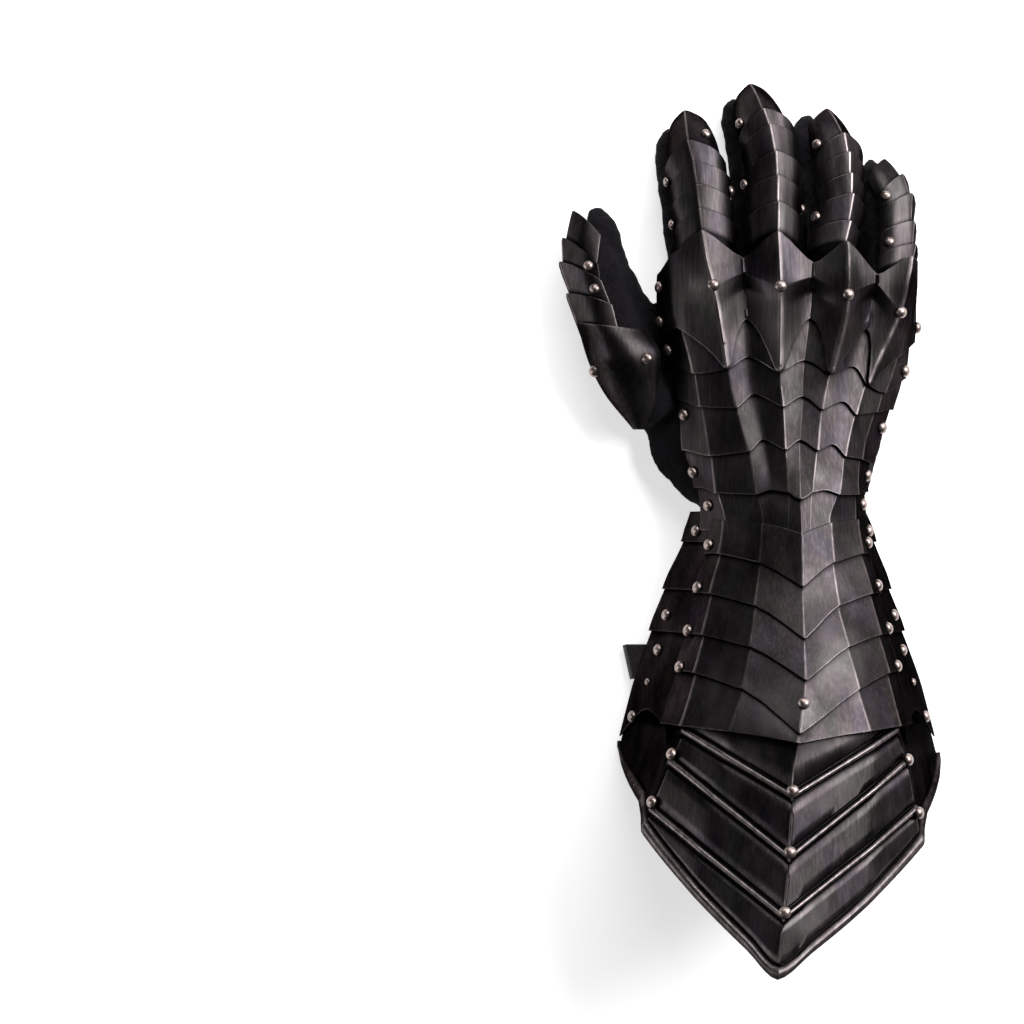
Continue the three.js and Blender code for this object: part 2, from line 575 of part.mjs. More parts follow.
// Glove. Its back follows the plates' base surface at a clearance, its palm is flat on the table.
const PALM = [
  { y: 53.7, left: [-61, 11], right: [58, 5.5], sole: [-52, 49, 4], under: 2.6, top: [1, 11] },
  { y: 42, left: [-62, 10], right: [57.5, 6], sole: [-54, 49, 0], under: 2.6, top: [1, 11] },
  { y: 20, left: [-64, 10], right: [54.5, 7], sole: [-55, 45, 0], under: 2.6, top: [1, 11] },
  { y: -5, left: [-66, 11], right: [49, 8], sole: [-56, 42, 0], under: 2.6, top: [0.9, 11] },
  { y: -24, left: [-65.5, 12], right: [44, 8], sole: [-55, 38, 0], under: 2.6, top: [0.6, 11.2] },
  { y: -34, left: [-63, 12], right: [42, 8], sole: [-54, 36, 0], under: 2.6, top: [0.5, 11.4] },
  { y: -44, left: [-50, 12], right: [38, 10], sole: [-44, 32, 3], under: 2.6, top: [0.45, 11.5] },
  { y: -50, left: [-41, 14], right: [33, 13], sole: [-35, 28, 6], under: 3.7, top: [1.6, 10.4] },
  { y: -56, left: [-39, 17], right: [32.5, 17], sole: [-33, 27, 9], under: 3.4, top: [2.4, 9.6] },
  { y: -88, left: [-45, 21], right: [38, 21], sole: [-37, 30, 12.5], under: 3.4, top: [2.4, 9.6] },
  { y: -125, left: [-49, 26], right: [43, 26], sole: [-41, 35, 14], under: 3.4, top: [2.4, 9.6] },
  { y: -149, left: [-51, 29], right: [45, 29], sole: [-43, 37, 15], under: 4.8, top: [2.5, 9.5] },
];
function palmRing({ y, left, right, sole, under, top }, inside) {
  const ring = [0, 1, 2, 3, 4, 5, 6, 7, 8, 9, 10].map((k) => {
    const c = Math.min(Math.max(lerp(top[0], top[1], k / 10), top[0]), top[1]);
    return back(y, c).addScaledVector(outward(y, c), -under);
  });
  ring.forEach((p) => { p.y = y; });
  ring.push(vec(right[0], y, right[1]), vec(sole[1], y, sole[2]));
  ring.push(vec((sole[0] + sole[1]) / 2, y, sole[2]));
  ring.push(vec(sole[0], y, sole[2]), vec(left[0], y, left[1]));
  if (!inside) return ring;
  return ring.map((p, k) => {
    const a = ring[(k + ring.length - 1) % ring.length];
    const b = ring[(k + 1) % ring.length];
    const run = vec(b.x - a.x, 0, b.z - a.z).normalize();
    return p.clone().addScaledVector(vec(run.z, 0, -run.x), inside);
  });
}

const FINGER_ROOT = 54;
const ROOT_CLIMB = 1.5;
const RING_SIDES = 12;

// Glove fingers: clearance under the plates, and a bulge on the side that they leave free
const GLOVE_CLEAR = 1.85;
const GLOVE_FINGERS = { index: 6, middle: 3, ring: 6, little: 2.5 };
const TIP_ROWS = [[0, 0.96], [0.38, 0.77], [0.6, 0.5], [0.7, 0.24]];

// A round ring round a point, fatter beyond the plates on its left (-1) or right (1) side,
// and flat where it meets the table
function gloveRing(centre, along, radius, { fat, side: facing, roll }, thin) {
  const flat = vec(along.x, along.y, 0).normalize();
  const side = vec(flat.y, -flat.x, 0);
  return Array.from({ length: RING_SIDES }, (_, k) => {
    const degrees = (360 * k) / RING_SIDES - 180;
    const beyond = facing * (degrees - roll) - HALF_WRAP;
    const free = Math.min(Math.max(beyond / 25, 0), 1) * Math.sin(rad(Math.min(Math.abs(degrees), 180)));
    const reach = radius + fat * free * 1.3 - thin;
    const a = rad(degrees);
    const p = centre.clone().addScaledVector(side, Math.sin(a) * reach);
    p.z = Math.max(centre.z + Math.cos(a) * reach, thin);
    return p;
  });
}

// A thimble: a tube that is closed at its far end, open at its root
function thimble(ringsOut, ringsIn, tipOut, tipIn) {
  const solid = new Solid();
  const wide = ringsOut[0].length;
  const a = solid.grid(ringsOut, false, true);
  const b = solid.grid(ringsIn, true, true);
  for (let j = 0; j < wide; j += 1) {
    const next = (j + 1) % wide;
    solid.quad(a + next, a + j, b + j, b + next);
  }
  const last = (start) => Array.from({ length: wide }, (_, j) => start + (ringsOut.length - 1) * wide + j);
  solid.fan(last(a), tipOut, true);
  solid.fan(last(b), tipIn);
  return solid.manifold();
}

function gloveFinger(name) {
  const finger = FINGERS[name];
  const last = finger.ridge.length - 2;
  const stops = [];
  for (let k = 0.5; k < last; k += 1.6) stops.push([k, 1]);
  TIP_ROWS.forEach(([t, shrink]) => stops.push([last + t, shrink]));
  const ring = (frame, centre, along, k, shrink, thin) => gloveRing(
    centre, along, (frame.radius - GLOVE_CLEAR) * shrink,
    { fat: GLOVE_FINGERS[name] * shrink * Math.min(k / 3, 1), side: -1, roll: finger.roll }, thin);
  const rings = (thin) => {
    const first = fingerFrame(finger, 0);
    const root = first.centre.clone().addScaledVector(
      first.along, (FINGER_ROOT - first.centre.y) / first.along.y);
    root.z = first.centre.z + ROOT_CLIMB;
    const start = ring(first, root, vec(0, 1, 0), 0, 1, thin);
    return [start, ...stops.map(([k, shrink]) => {
      const frame = fingerFrame(finger, k);
      return ring(frame, frame.centre, frame.along, k, shrink, thin);
    })];
  };
  const ends = [0.82, 0.76].map((t) => {
    const { centre } = fingerFrame(finger, last + t);
    centre.z = Math.max(centre.z, GLOVE_WALL + 1);
    return centre;
  });
  return thimble(rings(0), rings(GLOVE_WALL), ...ends);
}

// Thumb of the glove: middle of each ring, root first, and its radius
const THUMB_PATH = [[-58, -8, 14, 10.5], [-68, 5, 15.5, 10.8], [-77, 20, 18, 10.3], [-83.8, 34.5, 18.6, 10.4],
  [-87.5, 49.5, 15.6, 10.2], [-90.6, 63, 13.2, 10], [-89.8, 70.5, 12, 8.4], [-88.2, 76.5, 10.8, 5]];
const THUMB_FAT = 3.5;
const SLEEVE_SEAM = -52; // where the sleeve is sewn to the hand of the glove
const SEAM_GAP = 0.3;

function thumbRings(thin) {
  return THUMB_PATH.map(([x, y, z, radius], k) => {
    const a = THUMB_PATH[Math.max(k - 1, 0)];
    const b = THUMB_PATH[Math.min(k + 1, THUMB_PATH.length - 1)];
    const along = vec(b[0] - a[0], b[1] - a[1], b[2] - a[2]).normalize();
    const fat = k > 1 ? THUMB_FAT * (radius / 12) : 0;
    return gloveRing(vec(x, y, z), along, radius, { fat, side: 1, roll: FINGERS.thumb.roll }, thin);
  });
}

function gloveHandAndThumb() {
  const outer = PALM.map((row) => palmRing(row, 0));
  const inner = PALM.map((row) => palmRing(row, GLOVE_WALL));
  const shift = (rings, front, rear) => rings.map((ring, k) => {
    if (k === 0) return ring.map((p) => p.clone().setY(p.y + front));
    if (k === rings.length - 1) return ring.map((p) => p.clone().setY(p.y - rear));
    return ring;
  });
  const thumbIn = thimble(thumbRings(0), thumbRings(GLOVE_WALL), vec(-87.4, 79.5, 10), vec(-87.8, 77.6, 10.2));
  const hollowThumb = rod([...thumbRings(GLOVE_WALL - 0.3).slice(0, 4)]);
  const shell = rod(outer).subtract(rod(shift(inner, 1, 1))).subtract(hollowThumb);
  const grown = rod(shift(PALM.map((row) => palmRing(row, -0.3)), 0, 0));
  return {
    hand: shell.trimByPlane([0, 1, 0], SLEEVE_SEAM + SEAM_GAP / 2),
    sleeve: shell.trimByPlane([0, -1, 0], SEAM_GAP / 2 - SLEEVE_SEAM),
    thumb: thumbIn.subtract(grown),
  };
}

function biggest(solid) {
  return solid.decompose().sort((a, b) => b.volume() - a.volume())[0];
}

// The strap crosses under the sleeve, goes through the buckle, out under the wall,
// turns back in a slanted fold and lies on the table.
const STRAP_Y = -122;
const FOLD_X = -72;
const TABLE_Z = STRAP.thick / 2;
const FOLD = { slant: 12.3, radius: 1.4 };
const TAIL = 137;
const HOLES = { count: 6, pitch: 20, first: 16, radius: 1.6 };
const PIN_HOLE = 3.1;

// Height and run of the strap before its fold, from the right wall to the fold line
const STRAP_RUN = [[46.4, 25], [49.2, 17.6], [47.6, 13], [42, 11.2], [-24, 11.1], [-29, 11], [-33, 9.4],
  [-44, 4.7], [-49, 3.8], [-69, 3.8]];

function ribbon(rows, thick) {
  // rows: pairs of edge points and the sheet's normal
  const layer = (shift) => rows.map(({ a, b, normal }) => [a, b].map((p) => (
    p.clone().addScaledVector(normal, shift))));
  return sheet(layer(thick / 2), layer(-thick / 2));
}

function strapBillet() {
  const half = STRAP.width / 2;
  const rows = [];
  STRAP_RUN.forEach(([x, z], k) => {
    const a = STRAP_RUN[Math.max(k - 1, 0)];
    const b = STRAP_RUN[Math.min(k + 1, STRAP_RUN.length - 1)];
    const run = vec(b[0] - a[0], 0, b[1] - a[1]).normalize();
    const normal = vec(run.z, 0, -run.x);
    rows.push({ a: vec(x, STRAP_Y + half, z), b: vec(x, STRAP_Y - half, z), normal });
  });
  const slant = rad(FOLD.slant);
  const out = vec(-Math.cos(slant), -Math.sin(slant), 0);
  const line = vec(-Math.sin(slant), Math.cos(slant), 0);
  const origin = vec(FOLD_X, STRAP_Y, 0);
  const middle = TABLE_Z + FOLD.radius;
  const reach = half / Math.cos(slant);
  for (let k = 0; k <= 4; k += 1) {
    const turn = (Math.PI * k) / 4;
    const put3 = (side) => origin.clone().addScaledVector(line, side * reach)
      .addScaledVector(out, FOLD.radius * Math.sin(turn)).setZ(middle + FOLD.radius * Math.cos(turn));
    const normal = out.clone().multiplyScalar(Math.sin(turn)).add(vec(0, 0, Math.cos(turn)));
    rows.push({ a: put3(1), b: put3(-1), normal });
  }
  const away = vec(Math.cos(2 * slant), -Math.sin(2 * slant), 0);
  const across2 = vec(Math.sin(2 * slant), Math.cos(2 * slant), 0);
  const tailTop = origin.clone().setZ(TABLE_Z);
  const stops = [[12, 1], [TAIL * 0.5, 1], [TAIL - 8, 1], [TAIL - 2.4, 0.7], [TAIL, 0.25]];
  stops.forEach(([s, w]) => {
    const mid = tailTop.clone().addScaledVector(away, s);
    rows.push({ a: mid.clone().addScaledVector(across2, half * w),
      b: mid.clone().addScaledVector(across2, -half * w), normal: vec(0, 0, -1) });
  });
  let strap = ribbon(rows, STRAP.thick);
  for (let k = 0; k < HOLES.count; k += 1) {
    const s = TAIL - HOLES.first - k * HOLES.pitch;
    const mid = tailTop.clone().addScaledVector(away, s);
    strap = strap.subtract(prism(mid, HOLES.radius, STRAP.thick * 2));
  }
  return strap.subtract(prism(vec(-40, STRAP_Y, 6), PIN_HOLE, 12));
}

function prism(at, radius, high) {
  return rod([-0.5, 0.5].map((h) => Array.from({ length: 6 }, (_, k) => {
    const a = (Math.PI * k) / 3;
    return vec(at.x + radius * Math.cos(a), at.y + radius * Math.sin(a), at.z + h * high);
  })));
}

const CHAPE = { thick: 1.8, width: 15 };
const CHAPE_LOOP = WIRE + 0.35 + CHAPE.thick / 2; // its middle line round the buckle's bar
const CHAPE_OUT = CHAPE_LOOP + CHAPE.thick / 2;

// Buckle: a square frame with round corners, its pin, and the short strap that holds it
const BUCKLE = { left: -52, right: -29, half: 11.5, z: 8.4, corner: 4 };

function buckleFrame() {
  const { left, right, half, z, corner } = BUCKLE;
  const centres = [[right - corner, half - corner, 0], [left + corner, half - corner, 90],
    [left + corner, corner - half, 180], [right - corner, corner - half, 270]];
  const rings = centres.flatMap(([x, y, start]) => [0, 45, 90].map((turn) => {
    const a = rad(start + turn);
    const out = vec(Math.cos(a), Math.sin(a), 0);
    const middle = vec(x, STRAP_Y + y, z).addScaledVector(out, corner);
    return Array.from({ length: 6 }, (_, k) => {
      const b = (Math.PI * (2 * k + 1)) / 6;
      return middle.clone().addScaledVector(out, WIRE * Math.cos(b)).add(vec(0, 0, WIRE * Math.sin(b)));
    });
  }));
  const solid = new Solid();
  const wide = 6;
  solid.grid([...rings, rings[0].map((p) => p.clone())], false, true);
  const last = rings.length * wide;
  solid.triangles = solid.triangles.map((tri) => tri.map((v) => (v >= last ? v - last : v)));
  solid.points.length = last;
  return solid.manifold();
}

function bucklePin() {
  const { left, right, z } = BUCKLE;
  const half = 0.9;
  const stops = [[left + CHAPE_OUT + 0.3, z + 0.1], [-42, z - 0.3], [-38, 4.7], [right - 2, 6.1],
    [right + 1.5, 6.1]];
  return rod(stops.map(([x, h]) => [[half, half], [-half, half], [-half, -half], [half, -half]].map(
    ([dy, dz]) => vec(x, STRAP_Y + dy, h + dz))));
}

const CHAPE_RUN = [[-54.3, 23], [-58.3, 14.6], [-58.2, 12], [-56.3, 10.8]];

function buckleStrap() {
  const half = CHAPE.width / 2;
  const { left, z } = BUCKLE;
  const rows = [];
  const path = [...CHAPE_RUN];
  [90, 45, 0, -45, -90].forEach((turn) => {
    const a = rad(turn);
    path.push([left + CHAPE_LOOP * Math.cos(a), z + CHAPE_LOOP * Math.sin(a)]);
  });
  path.push([left - 3.4, z - CHAPE_LOOP + 0.15]);
  path.forEach(([x, h], k) => {
    const a = path[Math.max(k - 1, 0)];
    const b = path[Math.min(k + 1, path.length - 1)];
    const run = vec(b[0] - a[0], 0, b[1] - a[1]).normalize();
    rows.push({ a: vec(x, STRAP_Y + half, h), b: vec(x, STRAP_Y - half, h), normal: vec(run.z, 0, -run.x) });
  });
  return ribbon(rows, CHAPE.thick);
}

// Assembly
put('knuckle_plate', knucklePlate(), STEEL);
handLames();
armLames();
for (const side of ['left', 'right']) {
  SIDE_SEAMS.forEach((_, k) => put(`side_plate_${side}_${k + 1}`, sidePlate(k, side), STEEL));
}
put('cuff_plate', cuffPlate(), STEEL);
Object.entries(FINGERS).forEach(([name, finger]) => fingerPlates(name, finger));
put('thumb_base', thumbBase(), STEEL);
Object.entries(gloveHandAndThumb()).forEach(([name, solid]) => put(`glove_${name}`, biggest(solid), SUEDE));
Object.keys(GLOVE_FINGERS).forEach((name) => put(`glove_${name}`, gloveFinger(name), SUEDE));
put('strap_billet', strapBillet(), STRAP_LEATHER);
put('buckle_strap', buckleStrap(), STRAP_LEATHER);
put('buckle_frame', buckleFrame(), NICKEL);
put('buckle_pin', bucklePin(), NICKEL);

export default gauntlet;
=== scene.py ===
"""Looks of a plate gauntlet for a right hand: blackened steel lames on a suede glove, lying palm down."""

import math
from functools import lru_cache

import bmesh
import bpy
from mathutils import Matrix, Vector, noise


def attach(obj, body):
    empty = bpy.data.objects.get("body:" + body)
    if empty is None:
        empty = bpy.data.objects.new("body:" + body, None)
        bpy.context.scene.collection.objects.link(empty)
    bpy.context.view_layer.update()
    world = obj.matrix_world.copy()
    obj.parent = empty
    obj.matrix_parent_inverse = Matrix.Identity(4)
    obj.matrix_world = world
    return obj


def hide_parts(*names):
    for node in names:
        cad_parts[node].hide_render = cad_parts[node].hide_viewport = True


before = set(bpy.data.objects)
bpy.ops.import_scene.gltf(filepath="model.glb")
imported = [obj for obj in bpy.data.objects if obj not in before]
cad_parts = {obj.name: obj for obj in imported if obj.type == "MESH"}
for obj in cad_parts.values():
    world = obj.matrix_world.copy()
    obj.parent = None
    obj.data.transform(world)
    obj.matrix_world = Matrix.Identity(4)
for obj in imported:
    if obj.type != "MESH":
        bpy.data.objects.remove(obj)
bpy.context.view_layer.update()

# Sizes in millimetres, in the frame of the part: +Y along the fingers, +Z out of the back of the hand
MM = 0.001
PLATE = 1.0
GAP = 0.45
LAP = 0.3
STEP = PLATE + GAP
RISE = STEP * (1 + LAP)
GLOVE_WALL = 1.6
# A rivet's dark_share is the share of its foot that is painted black as a contact shadow.
RIVET = {"radius": 2.8, "height": 2.0, "foot": 1.3, "proud": 0.4, "dark_share": 0.3}
STRAP = {"width": 16, "thick": 2.2}
CUFF_DEPTH = -1.4
WALL_DEPTH = -3

# Columns across the back of the gauntlet, thumb side first
FOOT_L, END_L, CREASE_L, RIDGE_1, RIDGE_2, CREST, RIDGE_3, RIDGE_4, CREASE_R, END_R, FOOT_R = (
    0, 1, 2, 3, 5, 6, 7, 9, 10, 11, 12)


def from_side(c):
    """A column counted from the nearer foot."""
    return min(c, FOOT_R - c)


def lerp(a, b, t):
    return a + (b - a) * t


def clamp(value, low=0.0, high=1.0):
    return min(max(value, low), high)


def smooth_curve(stops, values):
    """A curve through the values that never overshoots them, straight beyond both ends."""
    slopes = [(values[k + 1] - values[k]) / (stops[k + 1] - stops[k]) for k in range(len(stops) - 1)]
    turns = [slopes[0]]
    for before, after in zip(slopes, slopes[1:]):
        same = before * after > 0
        turns.append(2 * before * after / (before + after) if same else 0)
    turns.append(slopes[-1])

    def at(place):
        k = 0
        while k < len(stops) - 2 and place > stops[k + 1]:
            k += 1
        wide = stops[k + 1] - stops[k]
        t = (place - stops[k]) / wide
        if t < 0:
            return values[k] + turns[k] * t * wide
        if t > 1:
            return values[k + 1] + turns[k + 1] * (t - 1) * wide
        return hermite(values[k], values[k + 1], turns[k] * wide, turns[k + 1] * wide, t)

    return at


def hermite(a, b, turn_a, turn_b, t):
    square, cube = t * t, t * t * t
    return (a * (2 * cube - 3 * square + 1) + turn_a * (cube - 2 * square + t)
            + b * (3 * square - 2 * cube) + turn_b * (cube - square))


# Hand: x and height of the thirteen columns at each length y
HAND = [
    (78, [-60, -57, -52, -41.2, -22.8, -6.9, 9.1, 24.4, 39, 56, 58.5, 59, 59],
     [8, 17, 31, 40.5, 36, 44.5, 37.5, 40.5, 34, 29.5, 19, 11, 6]),
    (62, [-60, -58.5, -53.5, -38.8, -21.8, -6.2, 9.3, 25.2, 38.2, 54.5, 58, 59, 59],
     [8, 18, 33, 43, 36.5, 46.8, 38, 43, 33.5, 32.5, 22, 12, 6]),
    (53, [-60, -59, -53, -36.6, -21.2, -6, 9, 24.9, 37.3, 52.6, 57.8, 58.8, 59],
     [8, 18, 33, 44.2, 36, 48.2, 37.5, 44.5, 32.5, 33.5, 22.5, 12.5, 6]),
    (45, [-60, -59, -52.5, -34.8, -20.8, -5.8, 8.8, 24.6, 36.5, 51, 57, 58.5, 59],
     [8, 18, 33, 43.5, 35.5, 47.5, 37, 44, 32, 33, 23, 13, 6]),
    (12, [-56, -54, -44, -29, -18.5, -5.9, 5, 17, 27.5, 36.3, 46.5, 53.5, 54.5],
     [11, 21, 34, 41, 38.5, 45, 41.5, 44, 37, 35, 28, 18, 8]),
    (-5, [-52, -50, -40.5, -25.4, -15.5, -4.4, 4.2, 13, 21.8, 29.7, 39, 46.5, 48],
     [12, 23, 35, 42.5, 40.5, 47, 44.5, 46.5, 41, 39, 32, 23, 12]),
    (-24, [-50, -47.8, -37, -20.1, -12.3, -3.7, 2.6, 10.5, 17.4, 24, 32, 39, 41],
     [14, 26, 38, 46, 45, 51, 49.5, 50, 45.5, 43.5, 37, 27, 14]),
    (-43, [-47.5, -38, -34, -16.4, -10.2, -2.5, 2.4, 7.8, 13.5, 20.2, 29, 32, 39],
     [15, 32.5, 40, 50, 51.5, 54.5, 55.5, 54.5, 52.5, 50, 42, 34, 15]),
]

# Arm: the crest, the folds of the crown, the creases above the side walls, and the walls' feet
ARM = [
    {"y": -56, "crest": 2.6, "top": 59.5, "left": -31, "right": 29, "crease": 44,
     "fold": (0.5, 0.5), "foot": (-48.5, 41), "low": 14.5},
    {"y": -88, "crest": 2.4, "top": 68, "left": -37, "right": 34, "crease": 52,
     "fold": (0.5, 0.48), "foot": (-59.5, 51), "low": 10},
    {"y": -125, "crest": 2.2, "top": 84, "left": -45, "right": 41, "crease": 61,
     "fold": (0.54, 0.58), "foot": (-71, 63), "low": 7},
    {"y": -150, "crest": -1.5, "top": 94, "left": -52, "right": 45.5, "crease": 68,
     "fold": (0.58, 0.68), "foot": (-77.5, 70), "low": 4},
    {"y": -164, "crest": -4, "top": 98, "left": -58, "right": 50, "crease": 69,
     "fold": (0.6, 0.7), "foot": (-81, 74), "low": 1.2},
    {"y": -200, "crest": -6.5, "top": 106, "left": -72, "right": 57, "crease": 67.5,
     "fold": (0.6, 0.6), "foot": (-93, 83), "low": 1.1},
    {"y": -256, "crest": -13, "top": 119.5, "left": -90, "right": 68, "crease": 65,
     "fold": (0.6, 0.6), "foot": (-108, 98), "low": 0},
]
CROWN_BOW = 0.35
LAME_WRAP = 0.3


def arm_row(row):
    x, z = [0.0] * 13, [0.0] * 13
    x[CREST], z[CREST] = row["crest"], row["top"]
    for side, crease, step, fold in ((row["left"], CREASE_L, -1, row["fold"][0]),
                                     (row["right"], CREASE_R, 1, row["fold"][1])):
        drop = row["top"] - row["crease"]
        at_fold = CROWN_BOW * fold + (1 - CROWN_BOW) * fold * fold
        for k in (1, 2, 3):
            x[CREST + step * k] = lerp(row["crest"], side, fold * k / 3)
            z[CREST + step * k] = row["top"] - drop * at_fold * k / 3
        x[crease], z[crease] = side, row["crease"]
    for end, foot, crease, at in ((END_L, FOOT_L, CREASE_L, row["foot"][0]),
                                  (END_R, FOOT_R, CREASE_R, row["foot"][1])):
        x[foot], z[foot] = at, row["low"]
        x[end] = lerp(x[crease], at, LAME_WRAP)
        z[end] = lerp(row["crease"], row["low"], LAME_WRAP)
    return row["y"], x, z


STATIONS = sorted(HAND + [arm_row(row) for row in ARM])
LENGTHS = [row[0] for row in STATIONS]
COLUMN_X = [smooth_curve(LENGTHS, [row[1][c] for row in STATIONS]) for c in range(13)]
COLUMN_Z = [smooth_curve(LENGTHS, [row[2][c] for row in STATIONS]) for c in range(13)]

# How sharply the sheet is creased at each column, on the hand and on the arm: 0 round, 1 a crease
HAND_SHARP = [1, 0.3, 0.5, 1, 0.35, 1, 0.35, 1, 0.35, 1, 0.6, 0.3, 1]
ARM_SHARP = [1, 1, 1, 1, 1, 1, 1, 1, 1, 1, 1, 1, 1]
ARM_STARTS = (-43, -56)


@lru_cache(maxsize=None)
def section(y):
    """x, z and sharpness of the thirteen columns at length y."""
    on_arm = clamp((y - ARM_STARTS[0]) / (ARM_STARTS[1] - ARM_STARTS[0]))
    sharp = [lerp(a, b, on_arm) for a, b in zip(HAND_SHARP, ARM_SHARP)]
    return [at(y) for at in COLUMN_X], [at(y) for at in COLUMN_Z], sharp


def along_row(values, sharp, c, steep=1.0):
    """A row of thirteen values read at column c, straight into sharp columns, round over others."""
    k = int(clamp(math.floor(c), 0, 11))
    chord = values[k + 1] - values[k]
    before = values[k] - values[k - 1] if k > 0 else chord
    after = values[k + 2] - values[k + 1] if k < 11 else chord
    turn_a = lerp((before + chord) / 2, chord * steep, sharp[k])
    turn_b = lerp((after + chord) / 2, chord * steep, sharp[k + 1])
    return hermite(values[k], values[k + 1], turn_a, turn_b, c - k)


@lru_cache(maxsize=None)
def back_point(y, c):
    x, z, sharp = section(y)
    return Vector((along_row(x, [1] * 13, c), y, along_row(z, sharp, c)))


def back(y, c):
    """A point of the base surface at length y and column c."""
    return back_point(round(y, 3), round(c, 4))


@lru_cache(maxsize=None)
def outward_at(y, c):
    tiny = 0.03
    along = (back(y + 1, c) - back(y - 1, c)).normalized()
    here = back(y, c)
    normals = []
    if c < FOOT_R:
        normals.append((back(y, c + tiny) - here).normalized().cross(along).normalized())
    if c > FOOT_L:
        normals.append((here - back(y, c - tiny)).normalized().cross(along).normalized())
    mean = sum(normals, Vector()).normalized()
    return mean / max(mean.dot(normals[0]), 0.75)


def outward(y, c):
    """The outward normal there, longer at a crease so that an offset keeps its distance."""
    return outward_at(round(y, 3), round(c, 4))


# Making pieces


def rgb(text):
    """An sRGB hex colour as the linear colour that a shader takes."""
    parts = [int(text[k:k + 2], 16) / 255 for k in (1, 3, 5)]
    return [v / 12.92 if v <= 0.04045 else ((v + 0.055) / 1.055) ** 2.4 for v in parts] + [1.0]


def start_piece(name):
    """Names the primitive that was just added."""
    piece = bpy.context.object
    piece.name = name
    piece.data.name = name
    return piece


def only(piece, *others):
    bpy.ops.object.select_all(action="DESELECT")
    for one in (piece, *others):
        one.select_set(True)
    bpy.context.view_layer.objects.active = piece


def modify(piece, kind, **settings):
    """Adds a modifier with its settings and applies it."""
    only(piece)
    modifier = piece.modifiers.new(kind.title(), kind)
    for key, value in settings.items():
        setattr(modifier, key, value)
    bpy.ops.object.modifier_apply(modifier=modifier.name)


def finish_piece(piece, material, replaced=(), angle=None):
    """Gives a piece its shading, material and body, and hides the CAD nodes it stands for."""
    only(piece)
    if angle is None:
        bpy.ops.object.shade_smooth()
    else:
        bpy.ops.object.shade_smooth_by_angle(angle=math.radians(angle))
    piece.data.materials.clear()
    piece.data.materials.append(material)
    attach(piece, "root")
    if replaced:
        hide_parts(*replaced)
    return piece


def grid_of(name, rows, columns, place, marks=None):
    """A grid primitive whose points are moved to place(row, column), the rows from low to high.
    marks(row, column) gives how far the steel is rubbed bright there, and how far it is painted dark as
    shade."""
    bpy.ops.object.select_all(action="DESELECT")
    bpy.ops.mesh.primitive_grid_add(x_subdivisions=len(columns) - 1, y_subdivisions=len(rows) - 1,
                                    size=MM)
    piece = start_piece(name)
    wide = len(columns)
    worn = [marks(row, column) if marks else (0, 0) for row in rows for column in columns]
    for k, mark in enumerate(("wear", "painted_shade")):
        values = [float(pair[k]) for pair in worn]
        piece.data.attributes.new(mark, "FLOAT", "POINT").data.foreach_set("value", values)
    for k, vertex in enumerate(piece.data.vertices):
        vertex.co = place(rows[k // wide], columns[k % wide]) * MM
    return piece


def thicken(piece, thick, middle=False):
    modify(piece, "SOLIDIFY", thickness=thick * MM, offset=0 if middle else -1)


def soften(piece, width, segments=2, angle=50):
    modify(piece, "BEVEL", width=width * MM, segments=segments, limit_method="ANGLE",
           angle_limit=math.radians(angle), harden_normals=False)


def weld(piece, near):
    """Joins the points of a closed form that are so near each other, in mm, and fills its holes."""
    only(piece)
    bpy.ops.object.mode_set(mode="EDIT")
    bpy.ops.mesh.select_all(action="SELECT")
    bpy.ops.mesh.remove_doubles(threshold=near * MM)
    bpy.ops.mesh.fill_holes(sides=0)
    bpy.ops.mesh.select_all(action="SELECT")
    bpy.ops.mesh.normals_make_consistent(inside=False)
    bpy.ops.object.mode_set(mode="OBJECT")


def join(piece, others):
    if others:
        only(piece, *others)
        bpy.ops.object.join()
    return piece


def dome(name, at, normal, scale=1.0):
    """A rivet head: most of a sphere, pressed a little flat, its narrower foot in the plate."""
    bpy.ops.object.select_all(action="DESELECT")
    bpy.ops.mesh.primitive_uv_sphere_add(segments=20, ring_count=12,
                                         radius=RIVET["radius"] * scale * MM)
    piece = start_piece(name)
    bpy.ops.object.mode_set(mode="EDIT")
    bpy.ops.mesh.select_all(action="SELECT")
    bpy.ops.mesh.bisect(plane_co=(0, 0, -RIVET["foot"] * MM), plane_no=(0, 0, 1),
                        clear_inner=True, use_fill=True)
    bpy.ops.mesh.select_all(action="SELECT")
    bpy.ops.transform.resize(value=(1, 1, RIVET["height"] / RIVET["radius"]))
    bpy.ops.object.mode_set(mode="OBJECT")
    # The lowest share of the foot is painted black as a contact shadow where the head meets the plate.
    low = RIVET["foot"] * MM * RIVET["dark_share"]
    dark = [clamp(1 - (vertex.co.z + low) / low) for vertex in piece.data.vertices]
    piece.data.attributes.new("painted_shade", "FLOAT", "POINT").data.foreach_set("value", dark)
    normal = normal.normalized()
    turn = Vector((0, 0, 1)).rotation_difference(normal).to_matrix().to_4x4()
    piece.data.transform(Matrix.Translation((at + normal * RIVET["proud"]) * MM) @ turn)
    return piece


RIVET_HEADS = []


def rivet(at, normal, scale=1.0):
    RIVET_HEADS.append(dome(f"rivet_{len(RIVET_HEADS)}", at, normal, scale))


# Materials


def material(name):
    made = bpy.data.materials.new(name)
    made.use_nodes = True
    tree = made.node_tree
    return made, tree, tree.nodes["Principled BSDF"]


def feed(made, inputs):
    """Sets or links inputs of a node or shader."""
    for key, value in inputs.items():
        if isinstance(value, bpy.types.NodeSocket):
            made.id_data.links.new(value, made.inputs[key])
        else:
            made.inputs[key].default_value = rgb(value) if isinstance(value, str) else value


